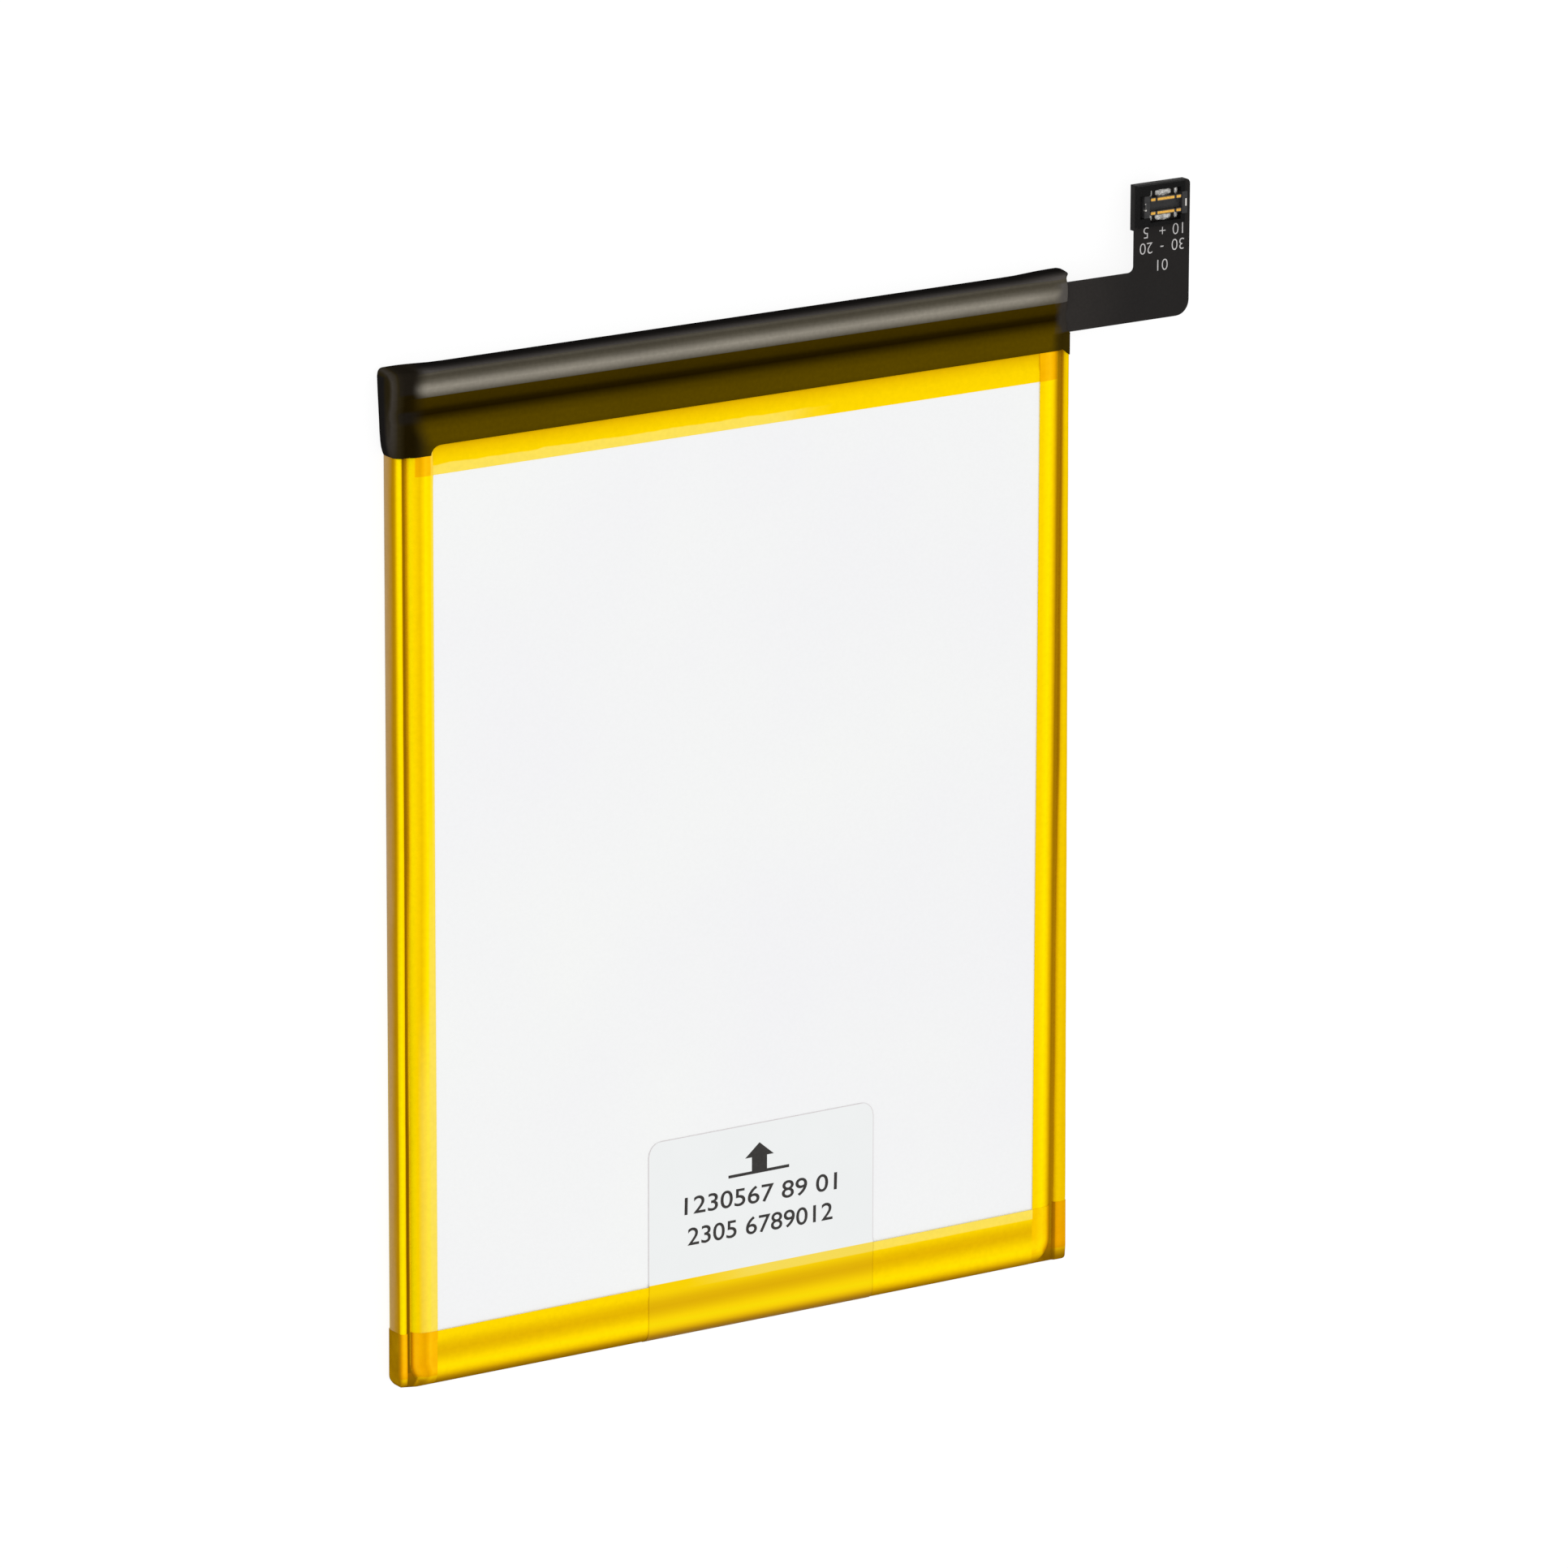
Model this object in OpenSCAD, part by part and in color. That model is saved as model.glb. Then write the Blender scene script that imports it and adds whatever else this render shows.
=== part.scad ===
// Flat lithium pouch battery for a mobile phone, lying on its back.
// X runs across the pack, Y along it towards the header with the circuit, Z out of the labelled face.
// The origin is the centre of the back face.

/* [Pack] */
// Width over the taped side seams
pack_w = 62; // [58:0.5:66]
// Length from the taped bottom edge to the wrapped header
pack_l = 81.3; // [76:0.1:90]
// Thickness of the pouch cell alone
cell_t = 2.68; // [2.5:0.01:3.4]

/* [Pouch cell] */
// Depth of the header beyond the cup of the cell
header_d = 2.96; // [2.8:0.01:3.4]
// Free gap between the cup and the header
header_gap = 0.3; // [0.2:0.05:0.5]
// Radius of the drawn shoulder along the sides and the top of the cup
shoulder_r = 0.9; // [0.6:0.05:1.1]
// Radius of the folded bottom edge on the labelled side
end_r = 1.5; // [1:0.1:1.8]
// Radius of the bottom edge on the back
end_back_r = 0.6; // [0.3:0.05:0.9]
// Radius of the bottom corners seen from the front
corner_r = 1.2; // [0.6:0.1:2]
// Thickness of the sealed laminate of the seams and the terrace
seam_t = 0.2; // [0.16:0.01:0.24]
// Thickness of a side seam once it is folded double
wing_t = 0.52; // [0.44:0.01:0.6]
// Slit left between the two layers of a folded seam
wing_slit = 0.04; // [0.02:0.01:0.06]
// Groove between the wall of the cup and the folded seam
groove_w = 0.5; // [0.4:0.05:0.7]
// How far the folded seams stay below the face of the cell
wing_drop = 0.46; // [0.4:0.02:0.6]
// Radius at the root of the folded seams
seam_r = 0.7; // [0.4:0.05:0.9]
// How far the terrace's ends stay inside the sides of the pack
terrace_inset = 1.1; // [0.8:0.1:2]
// How far the terrace stops short of the board's outer edge
terrace_short = 0.57; // [0.5:0.01:0.7]

/* [Films] */
// Thickness of the yellow tapes
tape_t = 0.08; // [0.05:0.01:0.1]
// Thickness of the white face label
label_t = 0.08; // [0.05:0.01:0.1]
// Thickness of the dark header wrap
wrap_t = 0.08; // [0.05:0.01:0.1]
// Thickness of the pull tab
pull_t = 0.08; // [0.05:0.01:0.1]
// Width of the white window left between the side tapes
window_w = 55.6; // [50:0.1:56]
// Width of the bottom tape on the face, from its edge to the end of the pack
bottom_tape_w = 5; // [3:0.1:8]
// Height where the top tape begins, below the end of the header
top_tape_d = 8; // [7.4:0.1:10]
// How far the top tape's ends stay inside the sides of the cup
top_tape_inset = 0.4; // [0.2:0.05:1]
// How far the top tape sinks into the valley, above the foot of the shoulder
valley_rise = 0.4; // [0.2:0.05:0.5]
// Where the top tape begins to rise, ahead of the header's inner wall
top_tape_slope = 0.1; // [0.05:0.05:0.2]
// Free end of the top tape on the header, below the end of the header
top_tape_end = 1.86; // [1.6:0.02:2]
// How far the label runs under the tapes
label_lap = 0.85; // [0.4:0.05:1.5]
// Width of the side tapes' flaps on the back
back_flap = 4.5; // [2:0.1:8]
// How far the side tapes stop short of the bottom edge
side_tape_gap = 0.9; // [0.4:0.1:2]
// How far the side tapes stop short of the top of the cup
side_tape_top = 0.1; // [0.05:0.05:0.2]

/* [Header wrap] */
// Height of the wrap on the face, from its lower edge to the end of the header
wrap_h = 5.7; // [5:0.1:7]
// Extra height of the ear at the left side
ear_h = 0.75; // [0.5:0.05:1.2]
// Width of the ear measured from the side of the pack
ear_w = 3; // [2.5:0.1:4]
// Radius of the ear's inner corner
ear_r = 0.7; // [0.3:0.1:0.7]
// Radius of the folded film's edges at the left end
ear_end_r = 0.6; // [0.3:0.05:0.8]
// Bulge of the folded film at the left end
ear_bulge = 0.55; // [0.2:0.05:0.8]
// Radius of the header's outer edge on the face
header_r = 0.5; // [0.3:0.05:0.5]
// Radius of the header's right corner seen from the front
header_corner_r = 0.6; // [0.3:0.05:0.8]
// Radius of the header's outer edge on the back
header_back_r = 0.3; // [0.2:0.05:0.5]
// How far the header's right end stays inside the side of the pack
header_inset = 0.6; // [0.4:0.05:0.9]

/* [Pull tab] */
// Width of the pull tab
pull_w = 21.1; // [12:0.1:30]
// Middle of the pull tab, right of the middle of the pack
pull_x = 1.9; // [-8:0.1:8]
// Length of the pull tab on the face
pull_front = 16.6; // [8:0.1:40]
// Length of the pull tab on the back
pull_back = 22; // [8:0.5:40]
// Radius of the pull tab's corners
pull_r = 1.2; // [0.5:0.1:3]

/* [Circuit board] */
// Thickness of the rigid board
board_t = 0.5; // [0.4:0.05:0.6]
// Thickness of the flexible circuit
flex_t = 0.16; // [0.1:0.01:0.2]
// Thickness of the silver cover strip
strip_t = 0.14; // [0.08:0.01:0.2]
// How far the silver strip's left end stays inside the header
strip_end = 1.2; // [0.8:0.1:3]
// How far the silver strip reaches down the outer side, from the flexible circuit's top
strip_skirt = 0.9; // [0.5:0.05:1.5]
// Distance between the header's outer wall and the board
board_gap = 0.31; // [0.24:0.01:0.4]
// Distance between the header's inner wall and the board
board_step = 0.28; // [0.2:0.02:0.4]
// Distance between the header's left end and the board
board_end = 1.8; // [1:0.1:3]
// Thickness of the insulating strip on the terrace
insulator_t = 0.08; // [0.05:0.01:0.12]
// Bare margin of the terrace round its insulating strip
insulator_margin = 0.1; // [0.05:0.05:0.3]

/* [Cell tabs] */
// Width of the cell's metal tabs
tab_w = 4; // [3:0.1:5]
// Thickness of the cell's metal tabs
tab_t = 0.1; // [0.08:0.01:0.12]
// Distance between the middles of the two tabs
tab_pitch = 22; // [16:0.5:30]
// Extra width of the sealing film on each side of a tab
seal_lap = 0.7; // [0.4:0.1:1]
// Length of the sealing film beyond the terrace
seal_l = 0.25; // [0.15:0.05:0.25]
// Thickness of the sealing film round a tab
seal_t = 0.16; // [0.14:0.01:0.18]
// Inner radius of the tabs' bends
tab_bend_r = 0.1; // [0.06:0.01:0.14]
// Length of tab left under the nickel plate, from its outer bend
tab_lap = 1.35; // [1:0.05:1.5]
// Thickness of the nickel plates that the tabs are welded to
plate_t = 0.15; // [0.1:0.01:0.2]
// Width of the nickel plates
plate_w = 5; // [4.5:0.1:6]
// Bare margin of the board beside the nickel plates
plate_margin = 0.2; // [0.1:0.05:0.4]

/* [Chips] */
// Place of the power switch along the board
switch_x = 19.5; // [17:0.1:20.5]
// Body of the power switch
switch_size = [3, 1.7, 0.85]; // [0.5:0.05:3.5]
// One lead of the power switch
switch_lead = [0.4, 2.2, 0.15]; // [0.1:0.05:2.3]
// Distance between the leads of the power switch
switch_pitch = 1.1; // [0.9:0.05:1.3]
// Place of the protection chip along the board
guard_x = 23.4; // [22.5:0.1:24.5]
// Body of the protection chip
guard_size = [1.8, 1.5, 0.65]; // [0.5:0.05:2]
// One lead of the protection chip
guard_lead = [0.25, 2, 0.12]; // [0.1:0.01:2.3]
// Distance between the leads of the protection chip
guard_pitch = 0.6; // [0.5:0.05:0.75]
// Place of the fuse along the board
fuse_x = -18; // [-22:0.1:-16]
// Body of the fuse
fuse_size = [2, 1.2, 0.4]; // [0.3:0.05:2.5]
// Metal cap at each end of the fuse
fuse_cap = [0.5, 1.3, 0.45]; // [0.3:0.05:1.6]
// Place of the temperature sensor along the board
sensor_x = 2.5; // [1:0.1:3.5]
// Places of the resistors along the board
resistor_x = [-4, -1.5, 16.2, 26]; // [-5:0.1:26.2]
// Places of the capacitors along the board
capacitor_x = [-6.5, 5, 27.7]; // [-8:0.1:28]
// Body of the small chips, without its height
small_chip = [1, 0.5]; // [0.4:0.05:1.1]
// Metal cap at each end of the small chips, without its height
small_cap = [0.26, 0.56]; // [0.2:0.02:0.6]
// Height of the resistors' bodies
resistor_h = 0.3; // [0.2:0.01:0.4]
// Height of the sensor's body
sensor_h = 0.45; // [0.3:0.01:0.5]
// Height of the capacitors' bodies
capacitor_h = 0.46; // [0.3:0.01:0.5]
// How much higher than its body the caps of a small chip are
cap_step = 0.04; // [0.02:0.01:0.06]

/* [Flexible tail] */
// Width of the level leg of the tail
leg_h = 4.02; // [3.6:0.02:4.4]
// Width of the upright leg of the tail
leg_w = 5.28; // [5.1:0.02:6.5]
// Distance from the side of the pack to the outer edge of the tail
tail_reach = 11.15; // [9:0.05:14]
// How far the tail stands above the header
tail_rise = 6.62; // [5.6:0.02:12]
// Radius of the tail's outer corner
tail_outer_r = 1.2; // [0.8:0.1:2]
// Radius of the tail's inner corner
tail_inner_r = 0.5; // [0.3:0.1:1.2]
// Clearance between the root of the tail and the taped side of the cup
root_gap = 0.02; // [0.01:0.01:0.1]
// Radius of the corners at the end of the tail
tail_end_r = 0.4; // [0.2:0.05:0.6]

/* [Connector] */
// Distance from the end of the tail to the middle of the connector
conn_end = 1.75; // [1.65:0.01:1.85]
// Length of the connector's housing
conn_l = 4.1; // [4:0.05:4.3]
// Width of the connector's end blocks
conn_w = 1.76; // [1.6:0.02:1.9]
// Height of the connector above the tail
conn_h = 0.5; // [0.44:0.02:0.7]
// Distance between the two contact rows
row_pitch = 1.1; // [1:0.02:1.2]
// Thickness of the housing's long walls
conn_wall = 0.24; // [0.2:0.02:0.3]
// Length of the housing's end blocks
block_l = 0.5; // [0.4:0.02:0.55]
// Thickness of the housing's floor
conn_floor = 0.14; // [0.1:0.02:0.2]
// Clearance between the housing or its feet and the foam frame
conn_gap = 0.04; // [0.02:0.01:0.08]
// Thickness of the contact metal
contact_t = 0.05; // [0.03:0.01:0.07]
// Length of a power contact along its row
power_l = 1.6; // [1.3:0.05:1.7]
// Length of a signal contact along its row
signal_l = 0.4; // [0.3:0.02:0.44]
// Distance from the middle of the connector to the signal contacts
signal_x = 1.22; // [1.16:0.01:1.26]
// Reach of the solder feet from the housing's walls
foot_l = 0.6; // [0.4:0.02:0.66]
// Height of the solder feet
foot_t = 0.1; // [0.06:0.01:0.12]
// How much narrower than its contact a solder foot is, on each side
foot_step = 0.04; // [0.02:0.01:0.06]
// Width of the notches for the hold-down clips
clip_w = 0.6; // [0.4:0.05:0.8]
// Depth of the notches for the hold-down clips
clip_d = 0.2; // [0.14:0.02:0.3]
// Height of the notches' floor
clip_z = 0.3; // [0.2:0.02:0.36]
// Thickness of the hold-down clips
clip_t = 0.14; // [0.08:0.01:0.14]
// Thickness of the steel stiffener under the connector
stiffener_t = 0.46; // [0.2:0.02:0.6]
// Length of the stiffener along the tail
stiffener_l = 3.68; // [3.4:0.02:4.5]
// Height of the foam frame round the connector
frame_h = 0.48; // [0.3:0.02:0.5]
// Length of the foam frame along the tail
frame_l = 3.36; // [3.3:0.02:3.6]
// Margin of bare tail right of the foam frame
frame_margin = 0.8; // [0.6:0.05:1]
// Width of the foam frame's left bar
frame_bar = 0.2; // [0.16:0.02:0.22]

/* [Hidden] */

// Levels of the stack, from the surface that the pack lies on
back_z = tape_t + max(tape_t, wrap_t, pull_t);
face_z = back_z + cell_t;
groove_z = face_z - shoulder_r;
valley_z = groove_z + valley_rise;
wing_top = face_z - wing_drop;
flex_z0 = wing_top + tape_t;
flex_z1 = flex_z0 + flex_t;
board_z0 = flex_z0 - board_t;
header_z = flex_z1 + tape_t + strip_t;

// Places across the pack
cell_x = pack_w / 2 - tape_t;
wing_r = wing_t / 2;
wing_x = cell_x - wing_r;
cup_x = cell_x - wing_t - groove_w;
window_x = window_w / 2;
strap_x = cup_x - top_tape_inset;
header_x1 = pack_w / 2 - header_inset;
header_x0 = -header_x1;

// Places along the pack
top_y = pack_l / 2 - wrap_t;
bottom_y = -pack_l / 2 + tape_t;
header_y0 = top_y - header_d;
cup_y = header_y0 - header_gap;
bottom_tape_y = -pack_l / 2 + bottom_tape_w;
top_tape_y = pack_l / 2 - top_tape_d;
strip_y = pack_l / 2 - top_tape_end;
wrap_y = pack_l / 2 - wrap_h;
board_y0 = header_y0 + board_step;
board_y1 = top_y - board_gap;
terrace_y = board_y1 - terrace_short;
slope_y = header_y0 - top_tape_slope;

// The board and the tabs under it
board_x0 = header_x0 + board_end;
board_x1 = strap_x;
board_mid = (board_y0 + board_y1) / 2;
tab_low = back_z + seam_t / 2;
tab_high = board_z0 - plate_t;
tab_turn = board_y1 - tab_bend_r - tab_t;

// Places on the tail
tail_x1 = pack_w / 2 + tail_reach;
tail_x0 = tail_x1 - leg_w;
tail_y0 = board_y1 - leg_h;
tail_y1 = pack_l / 2 + tail_rise;
tail_root = cup_x + tape_t + root_gap;
conn_x = (tail_x0 + tail_x1) / 2;
conn_y = tail_y1 - conn_end;
wall_y = row_pitch / 2;

arc_steps = 6;
// How far cutting blocks reach past what they cut
cut = 1;
// How far the header's sections reach into the cell
into_cell = 0.8;

function arc(c, r, from, to, n = arc_steps) =
    [for (i = [0:n]) let (a = from + (to - from) * i / n) [c[0] + r * cos(a), c[1] + r * sin(a)]];

function mirrored(points) = [for (i = [len(points) - 1:-1:0]) [-points[i][0], points[i][1]]];

// Right half of the section across the pack, grown by o, from the back to the face
function half_section(o) = concat(
    arc([cell_x - seam_r, back_z + seam_r], seam_r + o, -90, 0),
    arc([wing_x, wing_top - wing_r], wing_r + o, 0, 180),
    [[wing_x - wing_r - o, groove_z + o]],
    arc([cup_x - shoulder_r, groove_z], shoulder_r + o, asin(o / (shoulder_r + o)), 90)
);

// Section along the pack through the cell, grown by o
function length_section(o) = concat(
    arc([bottom_y + end_back_r, back_z + end_back_r], end_back_r + o, -90, -180),
    arc([bottom_y + end_r, face_z - end_r], end_r + o, 180, 90),
    arc([cup_y - shoulder_r, groove_z], shoulder_r + o, 90, 0),
    [[cup_y + o, back_z - o]]
);

// Outline of the cell seen from the front, grown by o
function cell_plan(o) =
    let (half = concat(
        arc([cell_x - corner_r, bottom_y + corner_r], corner_r + o, -90, 0),
        [[cell_x + o, cup_y + o]]
    ))
    concat(half, mirrored(half));

// Path of the top tape from the cup down into the valley and up on the board, raised by o
function valley_section(o) = [
    [cup_y - into_cell, cut], [cup_y - into_cell, valley_z + o], [slope_y, valley_z + o],
    [board_y0, flex_z1 + o], [strip_y + o, flex_z1 + o], [strip_y + o, cut]
];

// Section along the pack through the wrapped header, grown by o
function header_section(o) = concat(
    [[cup_y - into_cell, back_z - o]],
    arc([top_y - header_back_r, back_z + header_back_r], header_back_r + o, -90, 0),
    arc([top_y - header_r, header_z - header_r], header_r + o, 0, 90),
    [
        [strip_y - o, header_z + o], [strip_y - o, flex_z1 + tape_t + o],
        [board_y0, flex_z1 + tape_t + o], [slope_y, valley_z + tape_t + o],
        [cup_y - into_cell, valley_z + tape_t + o]
    ]
);

// Section across the header, grown by o
function header_ends(o) = concat(
    arc([header_x1 - header_back_r, back_z + header_back_r], header_back_r + o, -90, 0),
    arc([header_x1 - header_r, header_z - header_r], header_r + o, 0, 90),
    arc([header_x0 + header_r, header_z - header_r], header_r + o, 90, 180),
    arc([header_x0 + header_back_r, back_z + header_back_r], header_back_r + o, 180, 270)
);

module along_x(x0, x1) {
    translate([x0, 0, 0]) rotate([90, 0, 90]) linear_extrude(x1 - x0) children();
}

module along_y(y0, y1) {
    translate([0, y1, 0]) rotate([90, 0, 0]) linear_extrude(y1 - y0) children();
}

module block(from, to) {
    translate(from) cube(to - from);
}

// Rectangle with rounded corners
module rounded_plate(x0, x1, y0, y1, r) {
    polygon(concat(
        arc([x1 - r, y0 + r], r, -90, 0), arc([x1 - r, y1 - r], r, 0, 90),
        arc([x0 + r, y1 - r], r, 90, 180), arc([x0 + r, y0 + r], r, 180, 270)
    ));
}

// Everything inside the skin of the cell, grown by o
module cell_volume(o) {
    intersection() {
        along_y(bottom_y - cut, cup_y + cut) polygon(concat(half_section(o), mirrored(half_section(o))));
        along_x(-pack_w, pack_w) polygon(length_section(o));
        linear_extrude(face_z + cut) polygon(cell_plan(o));
    }
}

// The label with the films above it, grown by o
module label_volume(o) {
    x = window_x + label_lap + o;
    block(
        [-x, bottom_tape_y - label_lap - o, face_z - cut],
        [x, top_tape_y + label_lap + o, face_z + label_t + o]
    );
}

module top_tape_volume(o) {
    intersection() {
        union() {
            cell_volume(tape_t + o);
            label_volume(tape_t + o);
            along_x(-strap_x - o, strap_x + o) polygon(valley_section(tape_t + o));
        }
        block([-strap_x - o, top_tape_y - o, valley_z], [strap_x + o, strip_y + o, header_z + cut]);
    }
}

// Side tape over the cell, the label and the top tape, on the side given by its sign
module side_tape_volume(side, o) {
    y0 = bottom_y + side_tape_gap - o;
    y1 = cup_y - side_tape_top + o;
    intersection() {
        union() {
            cell_volume(tape_t + o);
            label_volume(tape_t + o);
            intersection() {
                top_tape_volume(tape_t + o);
                block([-pack_w, top_tape_y - cut, groove_z], [pack_w, y1, header_z + cut]);
            }
        }
        mirror([side < 0 ? 1 : 0, 0, 0]) union() {
            block([window_x - o, y0, groove_z - cut], [pack_w, y1, face_z + cut]);
            block([pack_w / 2 - back_flap - o, y0, -cut], [pack_w, y1, groove_z]);
        }
    }
}

module bottom_tape_volume(o) {
    intersection() {
        union() {
            cell_volume(tape_t + o);
            label_volume(tape_t + o);
            side_tape_volume(1, tape_t + o);
            side_tape_volume(-1, tape_t + o);
        }
        block([-pack_w / 2, bottom_y - cut, -cut], [pack_w / 2, bottom_tape_y + o, face_z + cut]);
    }
}

// The header inside its wrap, grown by o
module header_volume(o) {
    intersection() {
        along_x(-pack_w, pack_w) polygon(header_section(o));
        along_y(cup_y - cut, top_y + cut) polygon(header_ends(o));
        linear_extrude(header_z + cut) polygon(concat(
            [[-pack_w, top_y + o], [-pack_w, cup_y - cut], [header_x1 + o, cup_y - cut]],
            arc([header_x1 - header_corner_r, top_y - header_corner_r], header_corner_r + o, 0, 90)
        ));
    }
}

module cell_pouch() {
    color("silver") union() {
        difference() {
            cell_volume(0);
            for (side = [-1, 1]) mirror([side < 0 ? 1 : 0, 0, 0]) {
                block([cup_x, bottom_y + end_r, back_z + seam_t], [cup_x + groove_w, cup_y + cut, face_z]);
                block(
                    [wing_x - wing_slit / 2, bottom_y + end_r, back_z + 1.5 * seam_t],
                    [wing_x + wing_slit / 2, cup_y + cut, wing_top - wing_r]
                );
            }
        }
        terrace();
    }
}

// The flat sealed edge that carries the circuit
module terrace() {
    x = pack_w / 2 - terrace_inset;
    block([-x, cup_y - header_gap, back_z], [x, terrace_y, back_z + seam_t]);
}

module front_label() {
    color("whitesmoke") difference() {
        label_volume(0);
        cell_volume(0);
    }
}

module top_tape() {
    color("gold") difference() {
        top_tape_volume(0);
        cell_volume(0);
        label_volume(0);
        along_x(-pack_w, pack_w) polygon(valley_section(0));
    }
}

module side_tape(side) {
    color("gold") difference() {
        side_tape_volume(side, 0);
        cell_volume(0);
        label_volume(0);
        top_tape_volume(0);
    }
}

module bottom_tape() {
    color("goldenrod") difference() {
        bottom_tape_volume(0);
        cell_volume(0);
        label_volume(0);
        side_tape_volume(1, 0);
        side_tape_volume(-1, 0);
    }
}

// Outline of the wrap seen from the front: a straight lower edge, and an ear at the left side
module wrap_zone() {
    ear_x = -pack_w / 2 + ear_w;
    polygon(concat(
        [[-pack_w, pack_l], [-pack_w, wrap_y - ear_h], [ear_x, wrap_y - ear_h]],
        arc([ear_x + ear_r, wrap_y - ear_r], ear_r, 180, 90),
        [[cell_x - wing_t, wrap_y], [cell_x - wing_t, wrap_y - ear_h]],
        [[pack_w, wrap_y - ear_h], [pack_w, pack_l]]
    ));
}

// Folded end of the wrap, which bulges past the side of the pack
module ear_zone() {
    side = -pack_w / 2;
    root = 0.4;
    swell = 0.8;
    corner = 0.5;
    polygon([
        [side + root, wrap_y - ear_h], [side - wrap_t, wrap_y - ear_h],
        [side - ear_bulge * root, wrap_y - ear_h + swell], [side - ear_bulge, top_y - corner],
        [side - ear_bulge + corner, top_y + wrap_t], [header_x0 + corner, top_y + wrap_t]
    ]);
}

module header_wrap() {
    color([0.16, 0.13, 0.08]) difference() {
        union() {
            intersection() {
                union() {
                    cell_volume(wrap_t);
                    side_tape_volume(1, wrap_t);
                    side_tape_volume(-1, wrap_t);
                    top_tape_volume(wrap_t);
                    header_volume(wrap_t);
                    // Sleeve over the root of the tail
                    block(
                        [strap_x, tail_y0 - wrap_t, flex_z0],
                        [header_x1 + wrap_t, board_y0, flex_z1 + wrap_t]
                    );
                }
                linear_extrude(header_z + cut) wrap_zone();
            }
            intersection() {
                linear_extrude(header_z + cut) ear_zone();
                along_y(wrap_y - ear_h, top_y + wrap_t) rounded_plate(
                    -pack_w / 2 - ear_bulge, -pack_w / 2 + ear_w, back_z - wrap_t, flex_z1, ear_end_r
                );
            }
        }
        cell_volume(0);
        side_tape_volume(1, 0);
        side_tape_volume(-1, 0);
        top_tape_volume(0);
        header_volume(0);
        // Slot that lets the tail out at the right end
        block([tail_root, tail_y0, flex_z0], [pack_w, board_y1, flex_z1]);
    }
}

module pull_tab() {
    x0 = pull_x - pull_w / 2;
    x1 = pull_x + pull_w / 2;
    end_y = bottom_y - cut - pull_r;
    front_y = -pack_l / 2 + pull_front;
    back_y = -pack_l / 2 + pull_back;
    color([0.93, 0.94, 0.94]) difference() {
        intersection() {
            union() {
                cell_volume(pull_t);
                label_volume(pull_t);
                bottom_tape_volume(pull_t);
            }
            union() {
                translate([0, 0, groove_z]) linear_extrude(face_z)
                    rounded_plate(x0, x1, end_y, front_y, pull_r);
                translate([0, 0, -cut]) linear_extrude(groove_z + cut)
                    rounded_plate(x0, x1, end_y, back_y, pull_r);
            }
        }
        cell_volume(0);
        label_volume(0);
        bottom_tape_volume(0);
    }
}

// Silver strip bent over the outer edge of the board
module cover_strip() {
    color("lightgray") difference() {
        intersection() {
            header_volume(0);
            block([header_x0 + strip_end, strip_y, flex_z1 - strip_skirt], [header_x1, pack_l, pack_l]);
        }
        along_x(-pack_w, pack_w) polygon(header_section(-strip_t));
        block([-pack_w, 0, 0], [pack_w, top_y - header_r, flex_z1 + tape_t]);
    }
}

module terrace_insulator() {
    x = pack_w / 2 - terrace_inset - insulator_margin;
    color("olive") block(
        [-x, header_y0, back_z + seam_t],
        [x, terrace_y - insulator_margin, back_z + seam_t + insulator_t]
    );
}

// Metal tab of the cell: out of the terrace, up, and back under the board
module cell_tab(x) {
    outer_r = tab_bend_r + tab_t;
    low = [tab_turn, tab_low - tab_t / 2 + outer_r];
    high = [tab_turn, tab_high - outer_r];
    tip_y = board_y1 - tab_lap;
    along_x(x - tab_w / 2, x + tab_w / 2) polygon(concat(
        [[terrace_y, tab_low - tab_t / 2]],
        arc(low, outer_r, -90, 0), arc(high, outer_r, 0, 90),
        [[tip_y, tab_high], [tip_y, tab_high - tab_t]],
        arc(high, tab_bend_r, 90, 0), arc(low, tab_bend_r, 0, -90),
        [[terrace_y, tab_low + tab_t / 2]]
    ));
}

module tab_seal(x) {
    half = tab_w / 2 + seal_lap;
    difference() {
        block(
            [x - half, terrace_y, tab_low - seal_t / 2],
            [x + half, terrace_y + seal_l, tab_low + seal_t / 2]
        );
        block(
            [x - tab_w / 2, terrace_y - cut, tab_low - tab_t / 2],
            [x + tab_w / 2, terrace_y + seal_l + cut, tab_low + tab_t / 2]
        );
    }
}

module weld_plate(x) {
    block(
        [x - plate_w / 2, board_y0 + plate_margin, board_z0 - plate_t],
        [x + plate_w / 2, board_y1 - plate_margin, board_z0]
    );
}

module positive_tab() {
    color("gainsboro") cell_tab(tab_pitch / 2);
}

module negative_tab() {
    color("gray") cell_tab(-tab_pitch / 2);
}

module positive_tab_seal() {
    color("ivory") tab_seal(tab_pitch / 2);
}

module negative_tab_seal() {
    color("ivory") tab_seal(-tab_pitch / 2);
}

module positive_weld_plate() {
    color("silver") weld_plate(tab_pitch / 2);
}

module negative_weld_plate() {
    color("silver") weld_plate(-tab_pitch / 2);
}

module circuit_board() {
    color("darkgreen") block([board_x0, board_y0, board_z0], [board_x1, board_y1, flex_z0]);
}

// A part soldered under the middle of the board, size [length, width, height]
module part_under(x, size) {
    block(
        [x - size[0] / 2, board_mid - size[1] / 2, board_z0 - size[2]],
        [x + size[0] / 2, board_mid + size[1] / 2, board_z0]
    );
}

// A moulded chip with three leads that stick out on both sides
module leaded_chip(x, size, lead, pitch) {
    union() {
        part_under(x, size);
        for (place = [-1, 0, 1]) part_under(x + place * pitch, lead);
    }
}

// A chip with a metal cap at each end
module capped_chip(x, size, cap) {
    union() {
        part_under(x, size);
        for (side = [-1, 1]) part_under(x + side * (size[0] - cap[0]) / 2, cap);
    }
}

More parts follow.
